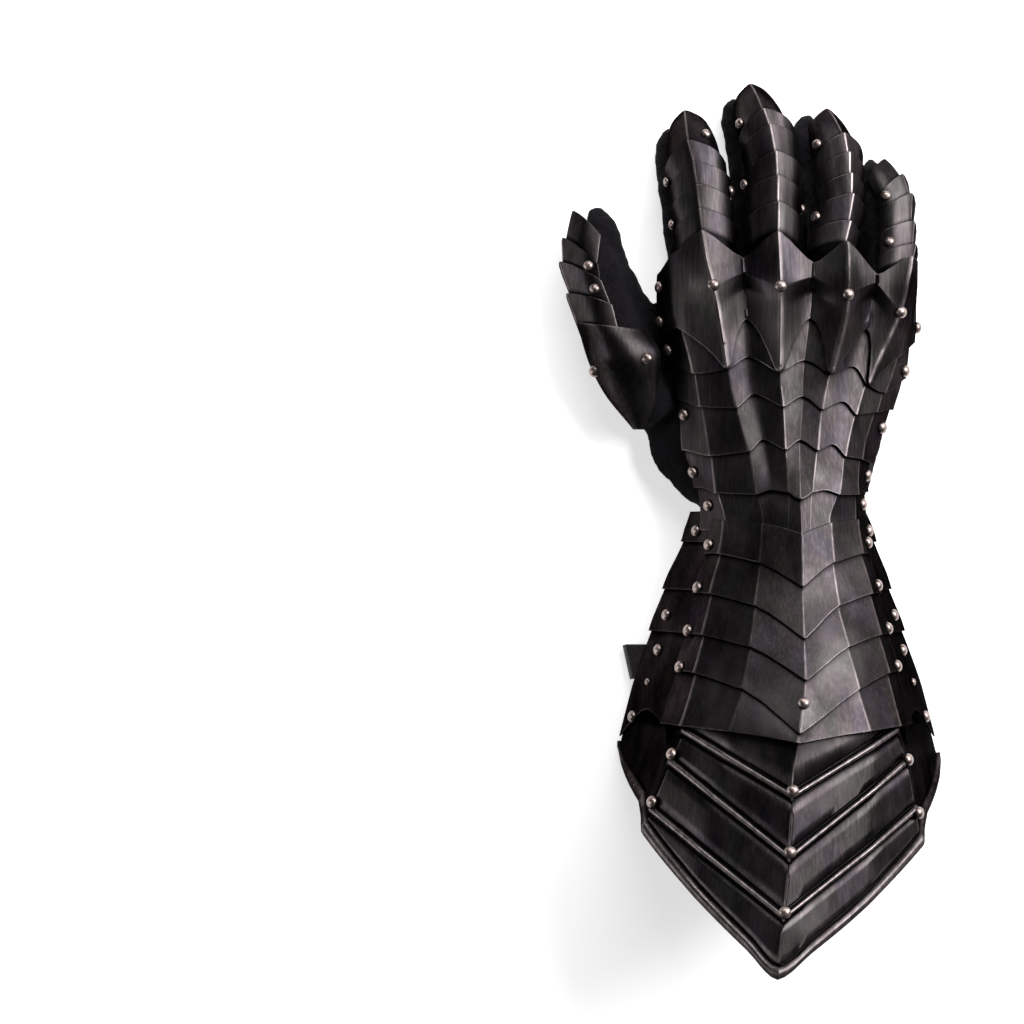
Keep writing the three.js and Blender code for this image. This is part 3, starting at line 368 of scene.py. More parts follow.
def node(tree, kind, inputs, out=0, stops=(), **settings):
    """Adds a node with its settings, the stops of its ramp and its inputs, and gives one output."""
    made = tree.nodes.new(kind)
    for key, value in settings.items():
        setattr(made, key, value)
    for k, (place, tone) in enumerate(stops):
        elements = made.color_ramp.elements
        element = elements[k] if k < len(elements) else elements.new(place)
        element.position = place
        element.color = rgb(tone) if isinstance(tone, str) else (tone, tone, tone, 1)
    feed(made, inputs)
    return made.outputs[out]


def per_mm(wide, long):
    """The scale of a pattern whose spots are so wide across the arm and so long along it, in mm."""
    return 1 / (wide * MM), 1 / (long * MM), 1 / (wide * MM)


def blackened_steel():
    """Mild steel plate, blackened and brushed by hand: dark with brown, violet and green patches,
    lengthwise brush marks, bright metal where edges and ridges rub, and black painted shade under laps,
    in grooves and on walls.
    The brush marks are 1 mm wide, coarser than real ones, so that they show."""
    made, tree, shader = material("blackened_brushed_steel")
    place = node(tree, "ShaderNodeTexCoord", {}, "Object")
    found = []
    for wide, long, detail, rough in ((24, 34, 3, 0.5), (13, 26, 2, 0.5), (1.0, 24, 3, 0.6),
                                      (0.35, 12, 3, 0.65), (2.5, 9, 4, 0.5), (9, 24, 3, 0.5),
                                      (17, 24, 1, 0.5)):
        spot = node(tree, "ShaderNodeMapping", {"Vector": place, "Scale": per_mm(wide, long)})
        found.append(node(tree, "ShaderNodeTexNoise",
                          {"Vector": spot, "Scale": 1.0, "Detail": detail, "Roughness": rough}, "Fac"))
    patches, tint, brush, fine, rub, gloss, dent = found
    base = node(tree, "ShaderNodeValToRGB", {"Fac": patches},
                stops=((0.3, "#151214"), (0.5, "#2a2628"), (0.7, "#464143")))
    hue = node(tree, "ShaderNodeValToRGB", {"Fac": tint},
               stops=((0.35, "#2b282e"), (0.5, "#2c2827"), (0.65, "#2a2c29")))
    colour = node(tree, "ShaderNodeMix", {0: 0.5, 6: base, 7: hue}, 2, data_type="RGBA")
    streaks = node(tree, "ShaderNodeValToRGB", {"Fac": brush}, stops=((0.45, 0.0), (0.75, 0.2)))
    wear = node(tree, "ShaderNodeAttribute", {}, "Fac", attribute_name="wear")
    broken = node(tree, "ShaderNodeValToRGB", {"Fac": rub}, stops=((0.35, 0.4), (0.65, 1.0)))
    rubbed = node(tree, "ShaderNodeMath", {0: wear, 1: broken}, operation="MULTIPLY")
    # The attribute read here is painted shade: it blackens the steel under laps, in grooves and on the
    # side walls.
    painted_shade = node(tree, "ShaderNodeAttribute", {}, "Fac", attribute_name="painted_shade")
    shade_black = node(tree, "ShaderNodeMath", {0: painted_shade, 1: 0.92}, operation="MULTIPLY")
    for share, tone in ((streaks, "#5c5657"), (rubbed, "#a79c9b"), (shade_black, "#020202")):
        colour = node(tree, "ShaderNodeMix", {0: share, 6: colour, 7: tone}, 2, data_type="RGBA")
    rough = node(tree, "ShaderNodeValToRGB", {"Fac": gloss}, stops=((0.3, 0.28), (0.7, 0.46)))
    under = {}
    for strength, depth, height in ((0.2, 0.15, fine), (0.12, 0.3, brush), (0.5, 1.2, dent)):
        bump = node(tree, "ShaderNodeBump",
                    {"Strength": strength, "Distance": depth * MM, "Height": height, **under})
        under = {"Normal": bump}
    feed(shader, {"Metallic": 1.0, "Specular Tint": "#5e5a5c", "Base Color": colour,
                  "Roughness": rough, "Normal": bump})
    return made


def rivet_steel():
    """Rivet heads, rubbed paler than the plates: a warm grey, with a painted black shadow round the foot.
    """
    made, tree, shader = material("rubbed_rivet_steel")
    place = node(tree, "ShaderNodeTexCoord", {}, "Object")
    spot = node(tree, "ShaderNodeMapping", {"Vector": place, "Scale": per_mm(1.6, 1.6)})
    patches = node(tree, "ShaderNodeTexNoise", {"Vector": spot, "Scale": 1.0, "Detail": 3}, "Fac")
    metal = node(tree, "ShaderNodeValToRGB", {"Fac": patches}, stops=((0.3, "#6b5f5c"), (0.7, "#a39490")))
    # The attribute read here is a painted contact shadow round the foot of the head.
    painted_shade = node(tree, "ShaderNodeAttribute", {}, "Fac", attribute_name="painted_shade")
    colour = node(tree, "ShaderNodeMix", {0: painted_shade, 6: metal, 7: "#020202"}, 2, data_type="RGBA")
    rough = node(tree, "ShaderNodeValToRGB", {"Fac": patches}, stops=((0.3, 0.32), (0.7, 0.44)))
    feed(shader, {"Metallic": 1.0, "Base Color": colour, "Roughness": rough})
    return made


def suede():
    """Black split suede: no gloss, and a short nap in patches that scatters light at grazing angles."""
    made, tree, shader = material("black_suede")
    place = node(tree, "ShaderNodeTexCoord", {}, "Object")
    found = []
    for wide, long, detail, rough in ((0.9, 0.9, 4, 0.7), (9, 12, 3, 0.5), (4.5, 3, 2, 0.5)):
        spot = node(tree, "ShaderNodeMapping", {"Vector": place, "Scale": per_mm(wide, long)})
        found.append(node(tree, "ShaderNodeTexNoise",
                          {"Vector": spot, "Scale": 1.0, "Detail": detail, "Roughness": rough}, "Fac"))
    nap, brushed, fold = found
    colour = node(tree, "ShaderNodeMix", {0: brushed, 6: "#050405", 7: "#100e11"}, 2, data_type="RGBA")
    tips = node(tree, "ShaderNodeValToRGB", {"Fac": nap}, stops=((0.5, 0.0), (0.75, 0.7)))
    colour = node(tree, "ShaderNodeMix", {0: tips, 6: colour, 7: "#232024"}, 2, data_type="RGBA")
    folds = node(tree, "ShaderNodeBump", {"Strength": 0.8, "Distance": 1.0 * MM, "Height": fold})
    fuzz = node(tree, "ShaderNodeBump",
                {"Strength": 1.0, "Distance": 0.6 * MM, "Height": nap, "Normal": folds})
    feed(shader, {"Roughness": 1.0, "Specular IOR Level": 0.1, "Sheen Weight": 0.06,
                  "Sheen Roughness": 0.6, "Sheen Tint": "#8d8794", "Base Color": colour, "Normal": fuzz})
    return made


def strap_leather():
    """Vegetable-tanned strap leather, dyed near black: fine pebbles, soft gloss, paler rubbed edges."""
    made, tree, shader = material("dyed_strap_leather")
    place = node(tree, "ShaderNodeTexCoord", {}, "Object")
    spot = node(tree, "ShaderNodeMapping", {"Vector": place, "Scale": per_mm(6, 6)})
    patches = node(tree, "ShaderNodeTexNoise", {"Vector": spot, "Scale": 1.0, "Detail": 3}, "Fac")
    pebbles = node(tree, "ShaderNodeMapping", {"Vector": place, "Scale": per_mm(1.1, 1.1)})
    cells = node(tree, "ShaderNodeTexVoronoi", {"Vector": pebbles, "Scale": 1.0}, "Distance")
    colour = node(tree, "ShaderNodeValToRGB", {"Fac": patches},
                  stops=((0.3, "#14110f"), (0.7, "#262120")))
    wear = node(tree, "ShaderNodeAttribute", {}, "Fac", attribute_name="wear")
    rubbed = node(tree, "ShaderNodeMath", {0: wear, 1: 0.6}, operation="MULTIPLY")
    colour = node(tree, "ShaderNodeMix", {0: rubbed, 6: colour, 7: "#5a5350"}, 2, data_type="RGBA")
    rough = node(tree, "ShaderNodeValToRGB", {"Fac": cells}, stops=((0.2, 0.38), (0.9, 0.62)))
    grain = node(tree, "ShaderNodeBump", {"Strength": 0.35, "Distance": 0.3 * MM, "Height": cells})
    feed(shader, {"Base Color": colour, "Roughness": rough, "Normal": grain})
    return made


def satin_nickel():
    """Nickel-plated wire: a warm pale metal with fine handling scratches."""
    made, tree, shader = material("satin_nickel_plate")
    place = node(tree, "ShaderNodeTexCoord", {}, "Object")
    spot = node(tree, "ShaderNodeMapping", {"Vector": place, "Scale": per_mm(0.3, 3)})
    marks = node(tree, "ShaderNodeTexNoise", {"Vector": spot, "Scale": 1.0, "Detail": 3}, "Fac")
    colour = node(tree, "ShaderNodeValToRGB", {"Fac": marks}, stops=((0.3, "#a3948c"), (0.7, "#cbbcb2")))
    rough = node(tree, "ShaderNodeValToRGB", {"Fac": marks}, stops=((0.3, 0.2), (0.7, 0.34)))
    feed(shader, {"Metallic": 1.0, "Base Color": colour, "Roughness": rough})
    return made


STEEL = blackened_steel()
RIVET_STEEL = rivet_steel()
SUEDE = suede()
LEATHER = strap_leather()
NICKEL = satin_nickel()

# Plates on the back of the hand and arm

CREASES = (CREASE_L, RIDGE_1, RIDGE_2, CREST, RIDGE_3, RIDGE_4, CREASE_R)
# How bright the steel is rubbed: at edges, at creases and on the ridges of the fingers
EDGE_WEAR, CREASE_WEAR, RIDGE_WEAR = 0.16, 0.3, 0.75
# How dark the side walls are painted as shade, dimming their reflection of the floor, and how far in mm
# painted shade reaches from under a lap
WALL_SHADE = 0.35
SHADE_REACH = 2.5
SHADE_FADE = 1.5
# Shares of a plate's length with rows beside its crest, and the least length that a lap counts from
CREST_ROWS = {0.488, 0.5, 0.512}
SHORTEST_LAME = 8


def split(a, b, most):
    """Evenly spaced stops from a to b, each step at most so long, without b."""
    count = max(int(math.ceil(abs(b - a) / most)), 1)
    return [lerp(a, b, k / count) for k in range(count)]


def columns_between(start, end, creases, fine=0.04, step=0.26):
    """Columns from start to end, with a close pair beside each crease and each end."""
    marks = sorted({start, start + fine, end - fine, end}
                   | {c + d for c in creases if start < c < end for d in (-fine, 0, fine)}
                   | {c for c in range(13) if start + fine < c < end - fine})
    found = []
    for a, b in zip(marks, marks[1:]):
        found += split(a, b, step)
    return found + [end]


def shares(length, fine=0.6, step=1.6):
    """Shares 0 to 1 along a plate of that length, with close rows at both ends."""
    near = clamp(fine / length, 0.02, 0.2)
    return [0, near] + split(near, 1 - near, step / length)[1:] + [1 - near, 1]


def steel_plate(name, rows, columns, spot, marks, rounded=0.28, angle=40):
    """A piece of plate: its shape, thickness, filed edges and finish."""
    piece = grid_of(name, rows, columns, spot, marks)
    thicken(piece, PLATE)
    soften(piece, rounded)
    finish_piece(piece, STEEL, (name,), angle=angle)


def rivet_on_back(y, c, lift, scale=1.0):
    normal = outward(y, c).normalized()
    rivet(back(y, c) + normal * lift, normal, scale)


def plate_on_back(name, front, rear, height, ends=(END_L, END_R), creases=CREASES, rivets=(), length=20,
                  cover=None, shade=2.0, crest=None):
    """A plate between two edges, each a function of the column; height(share, y, column) lifts it.
    cover is the edge of the plate above it, and shade how far painted shade reaches from under that edge."""
    start, end = ends
    columns = columns_between(start, end, creases)
    rows = sorted(set(shares(length)) | (CREST_ROWS if crest else set()), reverse=True)

    def y_at(share, c):
        if not crest:
            return lerp(front(c), rear(c), share)
        if share < 0.5:
            return lerp(front(c), crest(c), share * 2)
        return lerp(crest(c), rear(c), share * 2 - 1)

    def spot(share, c):
        y = y_at(share, c)
        return back(y, c) + outward(y, c) * height(share, y, c)

    def marks(share, c):
        crease = CREASE_WEAR if c in CREASES and c in creases else 0.0
        wear = EDGE_WEAR if share > 0.999 or c in (start, end) else crease
        # Steel just past the edge of the plate above is painted dark as that edge's shadow.
        painted_shade = clamp(1 - (cover(c) - y_at(share, c)) / shade) ** SHADE_FADE if cover else 0.0
        return wear * (1 - painted_shade), painted_shade

    steel_plate(name, rows, columns, spot, marks)
    for y, c, *scale in rivets:
        share = (front(c) - y) / (front(c) - rear(c))
        rivet_on_back(y, c, height(share, y, c), *scale)


def edge(values, sharp=None, steep=1.0):
    """An edge across the back: a length for each column, pointed at ridges, round between them."""
    marks = sharp or [0.3, 0.3, 0.3, 1, 0, 1, 0, 1, 0, 1, 0.3, 0.3, 0.3]
    return lambda c: along_row(values, marks, c, steep)


def straight(values):
    return edge(values, [1] * 13)


# Knuckle plate: a peak over each finger, a crest over the knuckles, arches between spikes behind
KNUCKLE_FRONT = [57, 58, 66, 76.5, 64.2, 75.7, 61.8, 71.5, 57.5, 65.5, 64, 60, 57]
KNUCKLE_CREST = [46, 47, 49, 51.4, 57.8, 50.7, 56, 47.3, 54, 40, 42, 42, 42]
KNUCKLE_REAR = [29, 29, 33, 13.2, 36.5, 11.2, 36.8, 10.8, 32.3, 6.2, 22, 27, 27]
KNUCKLE_RIVETS = [(51.4, RIDGE_1), (50.7, RIDGE_2), (47.3, RIDGE_3), (40, RIDGE_4),
                  (52, 1.25), (36, 1.2), (34, 11)]
KNUCKLE_LIFT = {"front": 2, "rear": 3.8, "from": 44, "to": 16}
KNUCKLE_SADDLE = {"rise": 3.2, "ahead": 18, "behind": 7}
KNUCKLE_ARCHES = edge(KNUCKLE_REAR, [0.3, 0.3, 0.5, 1, 0, 1, 0, 1, 0, 1, 0.3, 0.3, 0.3], steep=1.6)


def knuckle_plate():
    front = edge(KNUCKLE_FRONT, [0.3, 0.3, 0.3, 0.6, 0, 0.6, 0, 0.6, 0, 0.6, 0.3, 0.3, 0.3])
    crest = edge(KNUCKLE_CREST, [1, 1, 1, 1, 0.4, 1, 0.4, 1, 0.4, 1, 1, 1, 1])

    def height(_share, y, c):
        t = (KNUCKLE_LIFT["from"] - y) / (KNUCKLE_LIFT["from"] - KNUCKLE_LIFT["to"])
        lift = lerp(KNUCKLE_LIFT["front"], KNUCKLE_LIFT["rear"], clamp(t))
        if not RIDGE_1 < c < RIDGE_4:
            return lift
        between = math.sin(math.pi * (c - RIDGE_1) / 2) ** 2
        away = y - crest(c)
        fade = away / KNUCKLE_SADDLE["ahead"] if away > 0 else -away / KNUCKLE_SADDLE["behind"]
        return lift + KNUCKLE_SADDLE["rise"] * between * clamp(1 - fade)

    plate_on_back("knuckle_plate", front, KNUCKLE_ARCHES, height,
                  creases=(RIDGE_1, RIDGE_2, RIDGE_3, RIDGE_4, 4, 6, 8), rivets=KNUCKLE_RIVETS, length=55,
                  crest=crest)


# Lames over the back of the hand, each on top of the one nearer the wrist
M_EDGES = [
    [34, 36, 40, 43, 43, 43, 43, 43, 40, 34, 34, 36, 36],
    [20, 20, 11.7, 13.3, 18.8, 11.3, 17.1, 10.9, 14.4, 6.2, 3, 10, 10],
    [1, 1, -3.6, -4.6, 1.8, -4.3, 0.4, -5.6, -1.7, -7.7, -6, -4.4, -4.4],
    [-23.4, -23.4, -26.3, -24.7, -19.2, -23.9, -19.7, -24.3, -21.5, -26.9, -28, -29.4, -29.4],
    [-40.5, -40.5, -43.3, -44.3, -42.5, -43.4, -46.6, -43.4, -42.5, -44.3, -44.2, -42.8, -42.8],
]
M_LAP = 3
M_ENDS = [(1, 11), (1, 11), (1, 11), (0.6, 11.4)]
M_RIVETS = [[(23, 1.2), (13.5, 10.8)], [], [(-7, 1.2), (-13, 10.8)], [(-33, 1), (-35, 11)]]
WRIST_RIVETS = [(-49, 0.95), (-48.5, 11.05)]


def hidden(front, rear, most):
    """The hidden front edge of a lame, under the edge of the one before it."""
    return [y + min(LAP * max(y - after, SHORTEST_LAME), most) for y, after in zip(front, rear)]


def hand_lames():
    for k in range(1, 5):
        front = M_EDGES[0] if k == 1 else hidden(M_EDGES[k - 1], M_EDGES[k], M_LAP)
        # Each lame is painted dark as shade under the edge above it, deepest (5 mm) under the knuckle
        # arches.
        plate_on_back(f"metacarpal_lame_{k}", edge(front), edge(M_EDGES[k]), lambda t, y, c: RISE * t,
                      ends=M_ENDS[k - 1], rivets=M_RIVETS[k - 1], length=24,
                      cover=KNUCKLE_ARCHES if k == 1 else edge(M_EDGES[k - 1]), shade=5 if k == 1 else 2)


# Lames over the arm: a shallow V across the crown, its point on the crest
WRIST_EDGE = [-55, -55.5, -56, -57.5, -58.5, -60, -61.9, -60, -58.5, -57, -55.5, -54, -54]
V_EDGES = [(-71.5, -86), (-89.5, -109), (-108, -127), (-125, -150), (-148.5, -154)]
V_SHARP = 1.7
V_BENDS = [0, 0, 0.3, 0.2, 0, 0, 1, 0, 0, 0.2, 0.3, 0, 0]
W_RIVETS = [[(-67.5, 1.3), (-66.5, 10.7)], [(-87, 1.3), (-86, 10.7)], [(-106.5, 1.3), (-105.5, 10.7)],
            [(-123, 1.3), (-122.5, 10.7), (-137, CREST)], []]
W_LAP = 6
WRIST_REACH = 5
CROWN_SHARE = [1, 1, 1, 0.55, 0.37, 0.18, 0, 0.18, 0.37, 0.55, 1, 1, 1]


def v_edge(side, tip):
    return [lerp(side, tip, (1 - share) ** V_SHARP) for share in CROWN_SHARE]


def arm_lames():
    front = [y + WRIST_REACH for y in M_EDGES[4]]
    rear = [y - WRIST_REACH for y in WRIST_EDGE]
    # Each lame is painted dark as shade just past the edge of the plate above it.
    plate_on_back("wrist_lame", straight(front), straight(rear), lambda t, y, c: 0.0, ends=(0.6, 11.4),
                  rivets=WRIST_RIVETS, length=26, cover=edge(M_EDGES[4]), shade=3)
    edges = [WRIST_EDGE] + [v_edge(*pair) for pair in V_EDGES]
    for k in range(1, len(edges)):
        top = k == 1
        front = edges[0] if top else hidden(edges[k - 1], edges[k], W_LAP)
        low = STEP if top else 0.0
        plate_on_back(f"cuff_lame_{k}", edge(front, V_BENDS), edge(edges[k], V_BENDS),
                      lambda t, y, c, low=low: lerp(low, RISE, t),
                      creases=(CREASE_L, RIDGE_1, CREST, RIDGE_4, CREASE_R), rivets=W_RIVETS[k - 1],
                      length=24, cover=None if top else edge(edges[k - 1], V_BENDS), shade=2.2)


# Side plates under the lames' ends, down to the edge of the arm that lies on the table
SIDE_TOP = 0.35
SIDE_SEAMS = [-51.5, -65.5, -87.5, -107]
SIDE_LAP = 5
SIDE_TAIL = [(0, -157), (0.45, -143), (1, -150), (1 + SIDE_TOP, -157)]
SIDE_RIVETS = [[(-60.5, 0.45)], [], [(-99.5, 0.35)], [(-115.5, 0.35), (-130.5, 0.35, 0.6), (-147, 0.22)]]
SIDE_RUN = [8, 19, 19, 30]
# Side plates are painted dark as shade from this column up to their tops under the lames' ends.
SIDE_SHADED_FROM = 0.85


def side_plate(k, side):
    last = k == len(SIDE_SEAMS) - 1
    start = SIDE_SEAMS[k] + (SIDE_LAP if k else 0)
    tail = smooth_curve([at for at, _ in SIDE_TAIL], [y for _, y in SIDE_TAIL])

    def end(c):
        return tail(c) if last else SIDE_SEAMS[k + 1]

    def flip(c):
        return c if side == "left" else FOOT_R - c

    def height(y):
        return lerp(-STEP - RISE, -STEP, clamp((start - y) / SIDE_RUN[k]))

    columns = columns_between(0, 1 + SIDE_TOP, (0.5,), step=0.12)
    if side == "right":
        columns = columns[::-1]
    rows = shares(20)[::-1]

    def spot(share, c):
        y = lerp(start, end(c), share)
        return back(y, flip(c)) + outward(y, flip(c)) * height(y)

    def marks(share, c):
        # Painted shade: dark under the plate before, under the lames' ends, and over all the wall,
        # dimming its reflection of the floor.
        covered = SIDE_SEAMS[k] - lerp(start, end(c), share)
        lap_shade = clamp(1 - covered / SHADE_REACH) if k else 0
        painted_shade = max(lap_shade, clamp((c - SIDE_SHADED_FROM) / (1 - SIDE_SHADED_FROM)), WALL_SHADE)
        return EDGE_WEAR if share > 0.999 or c == 0 else 0.0, painted_shade

    steel_plate(f"side_plate_{side}_{k + 1}", rows, columns, spot, marks)
    for y, c, *scale in SIDE_RIVETS[k]:
        rivet_on_back(y, flip(c), height(y), *scale)


# Cuff: one plate with three chevron ribs and a turned rim that runs to a broad point
CUFF_FRONT = [-137, -135, -137, -138, -136, -134, -133, -134, -136, -138, -137, -135, -137]
RIM = {"tip": -254.5, "corner": (-196, -202), "foot": (-160, -167)}
RIBS = [(-176.7, -149.5), (-203, -163.5), (-228.5, -185)]
RIB_PROFILE = [(3.6, 0), (2.7, -0.7), (1.9, -0.6), (1.5, 0.5), (0.8, 1.5), (0, 1.7), (-0.8, 1.45),
               (-1.6, 0.3), (-2.1, -0.7), (-2.9, -0.75), (-4, 0)]
RIM_PROFILE = [(7.4, 0), (6.6, -0.6), (5.8, -0.5), (5.2, 0.8), (4.4, 1.5), (2.9, 1.9), (1.5, 1.6),
               (0.5, 0.9), (0, 0.1)]
# Rib and rim rows above the first height are rubbed bright; grooves below the second are painted dark as
# shade.
BRIGHT_ABOVE, SHADED_BELOW = 1, -0.4
RIB_WEAR, RIM_WEAR = 0.4, 0.22
# Where the ribs rise out of the side walls, in columns, and how far the rivets stand on the ribs
RIB_START, RIB_RUN = 1.6, 0.4
CUFF_RIVET_LIFT = 0.9
LINE_TRIES = 5
CUFF_SHARE = [1, 1, 1, 0.6, 0.4, 0.2, 0, 0.2, 0.4, 0.6, 1, 1, 1]
RIM_BENDS = [1, 1, 1, 1, 1, 0.7, 0, 0.7, 1, 1, 1, 1, 1]
CUFF_RIVETS = [(-174.3, CREST), (-200.6, CREST), (-226.2, CREST),
               (-160.5, CREASE_L), (-182, CREASE_L), (-163, CREASE_R), (-187, CREASE_R)]


def cuff_rim(c):
    left = c < CREST
    corner = RIM["corner"][0 if left else 1]
    k = from_side(c)
    if k >= CREASE_L:
        return lerp(RIM["tip"], corner, along_row(CUFF_SHARE, RIM_BENDS, k))
    return lerp(RIM["foot"][0 if left else 1], corner, (k / CREASE_L) ** 0.6)


def straight_line(tip, side, c, share):
    """The length at column c of a line that is straight from the crest to the crease, seen from above."""
    crease = CREASE_L if c < CREST else CREASE_R
    start, end = back(tip, CREST).x, back(side, crease).x
    for _ in range(LINE_TRIES):
        y = lerp(tip, side, share)
        share = clamp((back(y, c).x - start) / (end - start))
    return lerp(tip, side, share)


def cuff_height(c):
    return lerp(WALL_DEPTH, CUFF_DEPTH, clamp((from_side(c) - 1.5) / 0.5))


def rub_or_shade_at(high, bright, between):
    """How far a rib or rim is rubbed at that height; -1 is a groove painted dark as shade."""
    return bright if high > BRIGHT_ABOVE else -1 if high < SHADED_BELOW else between


def cuff_plate():
    columns = columns_between(FOOT_L, FOOT_R, (CREASE_L, CREST, CREASE_R), step=0.2)

    def flat(start, end, stops):
        return [(lerp(start, end, t), 0.0, 0.0) for t in stops]

    def lines_at(c):
        front = straight(CUFF_FRONT)(c)
        rim = cuff_rim(c)
        k = from_side(c)
        share = along_row(CUFF_SHARE, [1] * 13, k)
        strength = clamp((k - RIB_START) / RIB_RUN)
        lines = [(front, 0.0, 0.0), (front - 0.6, 0.0, 0.0)]
        for n, (tip, side) in enumerate(RIBS):
            on_crown = straight_line(tip, side, c, share)
            on_wall = lerp(front, rim, (n + 1) / (len(RIBS) + 1))
            y = lerp(on_wall, on_crown, clamp(k - 1.0))
            lines += flat(lines[-1][0], y + RIB_PROFILE[0][0], (0.25, 0.5, 0.75))
            for ahead, high in RIB_PROFILE:
                lines.append((y + ahead, high * strength, rub_or_shade_at(high, RIB_WEAR, 0) * strength))
        lines += flat(lines[-1][0], rim + RIM_PROFILE[0][0], (0.2, 0.4, 0.6, 0.8))
        for ahead, high in RIM_PROFILE:
            lines.append((rim + ahead, high, rub_or_shade_at(high, RIM_WEAR, EDGE_WEAR)))
        placed, floor = [], 1e9
        for y, high, rub in lines:
            floor = min(y, floor - 0.1)
            placed.append((floor, high, rub))
        return placed

    table = {c: lines_at(c) for c in columns}
    rows = list(range(len(table[columns[0]])))[::-1]

    def spot(row, c):
        y, high, _ = table[c][row]
        return back(y, c) + outward(y, c) * (cuff_height(c) + high)

    last_lame = edge(v_edge(*V_EDGES[-1]), V_BENDS)

    def marks(row, c):
        y, _, rub = table[c][row]
        crease = CREASE_WEAR if c in (CREASE_L, CREST, CREASE_R) else 0
        # Painted shade: black in the grooves, under the last lame's edge, and on the side walls, where it
        # dims their reflection of the floor.
        wall = WALL_SHADE * clamp((CREASE_L - from_side(c)) / 0.3)
        lap_shade = clamp(1 - (last_lame(c) - y) / SHADE_REACH)
        return max(rub, crease if rub >= 0 else 0), max(-rub, lap_shade, wall)

    steel_plate("cuff_plate", rows, columns, spot, marks, rounded=0.25, angle=45)
    for y, c in CUFF_RIVETS:
        rivet_on_back(y, c, cuff_height(c) + CUFF_RIVET_LIFT)


# Fingers: a row on the ridge for each plate edge, knuckle first, and the tip's end last
FINGERS = {
    "index": {"roll": -8, "radius": (13, 12), "lag": 7.5,
              "ridge": [(-40.7, 76.3, 38.5), (-41.7, 86.6, 35.5), (-42.9, 98, 32.5), (-44.1, 108.4, 29.5),
                        (-46.5, 118.5, 26), (-48, 137, 12.8)], "tip": 0.78,
              "rivets": [(4.4, 40), (2.5, 78), (3.6, -78), (1.5, -78)]},
    "middle": {"roll": 8, "radius": (11.8, 11.4), "lag": 7,
               "ridge": [(-6.4, 76, 41.5), (-6.3, 89.6, 38.3), (-6.2, 102, 34.5), (-6.9, 113.4, 31.5),
                         (-9.3, 126.3, 27.5), (-11.8, 133.1, 25), (-17, 149.4, 12.8)], "tip": 0.78,
               "rivets": [(5.3, -60), (2.6, -78), (1.6, 78)]},
    "ring": {"roll": 25, "radius": (11.6, 11), "lag": 8,
             "ridge": [(24.5, 71.7, 38.3), (26.3, 81.2, 35.3), (28.1, 94, 31.5), (27.6, 103.6, 28.5),
                       (27, 113.7, 25), (25, 122.4, 22), (19.5, 137.5, 13)], "tip": 0.8,
             "rivets": [(5.3, -60), (1.6, -70)]},
    "little": {"roll": 50, "radius": (10.5, 9.6), "lag": 7,
               "ridge": [(56, 63.5, 28.5), (56.6, 71.2, 26), (56.2, 82.2, 23), (55.8, 95.1, 19.5),
                         (51.9, 103.8, 17), (46.5, 113.5, 12)], "tip": 0.85,
               "rivets": [(3.6, -60), (1.4, -60)]},
    "thumb": {"roll": -70, "radius": (12.5, 11.8), "lag": 12,
              "ridge": [(-97, 34.5, 24), (-100.7, 49.5, 20.5), (-103.9, 64.1, 18), (-102.4, 74.9, 16.5),
                        (-100, 88.5, 14)], "tip": 0.95,
              "rivets": [(2.4, 62), (1.4, 62)]},
}
# The keel along a finger: its height as a share of the radius, and its half width in degrees
KEEL, KEEL_HALF = 0.12, 24
# How far round a plate goes in degrees, and how its sides lag behind the ridge
HALF_WRAP = 84
LAG_CURVE = 1.3
ROOT_LAP = 0.5
TIP_LIFT = 0.5
TIP_CURVE = 3.2
FINGER_RISE = 2.5
# How far painted shade reaches past the edge of the plate above, as a share of a finger plate.
FINGER_SHADE = 0.13
FINGER_RIVET = 0.85
ANGLE_FINE = 2.5
FINGER_ANGLES = sorted({-84.0, -81.0, 81.0, 84.0, -ANGLE_FINE, 0.0, ANGLE_FINE}
                       | {float(a) for a in range(-72, 73, 8) if a})


def finger_frame(finger, k):
    """Middle, direction, up, side and radius of a finger at row k of its ridge."""
    rows = [Vector(row) for row in finger["ridge"]]
    n = int(clamp(math.floor(k), 0, len(rows) - 2))
    a, b = rows[n], rows[n + 1]
    before, after = rows[max(n - 1, 0)], rows[min(n + 2, len(rows) - 1)]
    f = clamp(k - n)
    ridge = a.lerp(b, k - n)
    along = (b - before).normalized().lerp((after - a).normalized(), f).normalized()
    roll = math.radians(finger["roll"])
    up = Vector((math.sin(roll), 0, math.cos(roll)))
    up = (up - along * up.dot(along)).normalized()
    side = along.cross(up).normalized()
    radius = lerp(*finger["radius"], clamp(max(k, 0) / (len(rows) - 1)))
    return ridge - up * radius * (1 + KEEL), along, up, side, radius


def on_finger(finger, k, degrees, offset, shrink=1.0):
    centre, along, up, side, radius = finger_frame(finger, k)
    share = abs(degrees) / HALF_WRAP
    keel = 1 + KEEL * max(1 - abs(degrees) / KEEL_HALF, 0)
    reach = radius * keel * shrink + offset
    a = math.radians(degrees)
    return (centre + up * math.cos(a) * reach + side * math.sin(a) * reach
            - along * finger["lag"] * shrink * share ** LAG_CURVE)


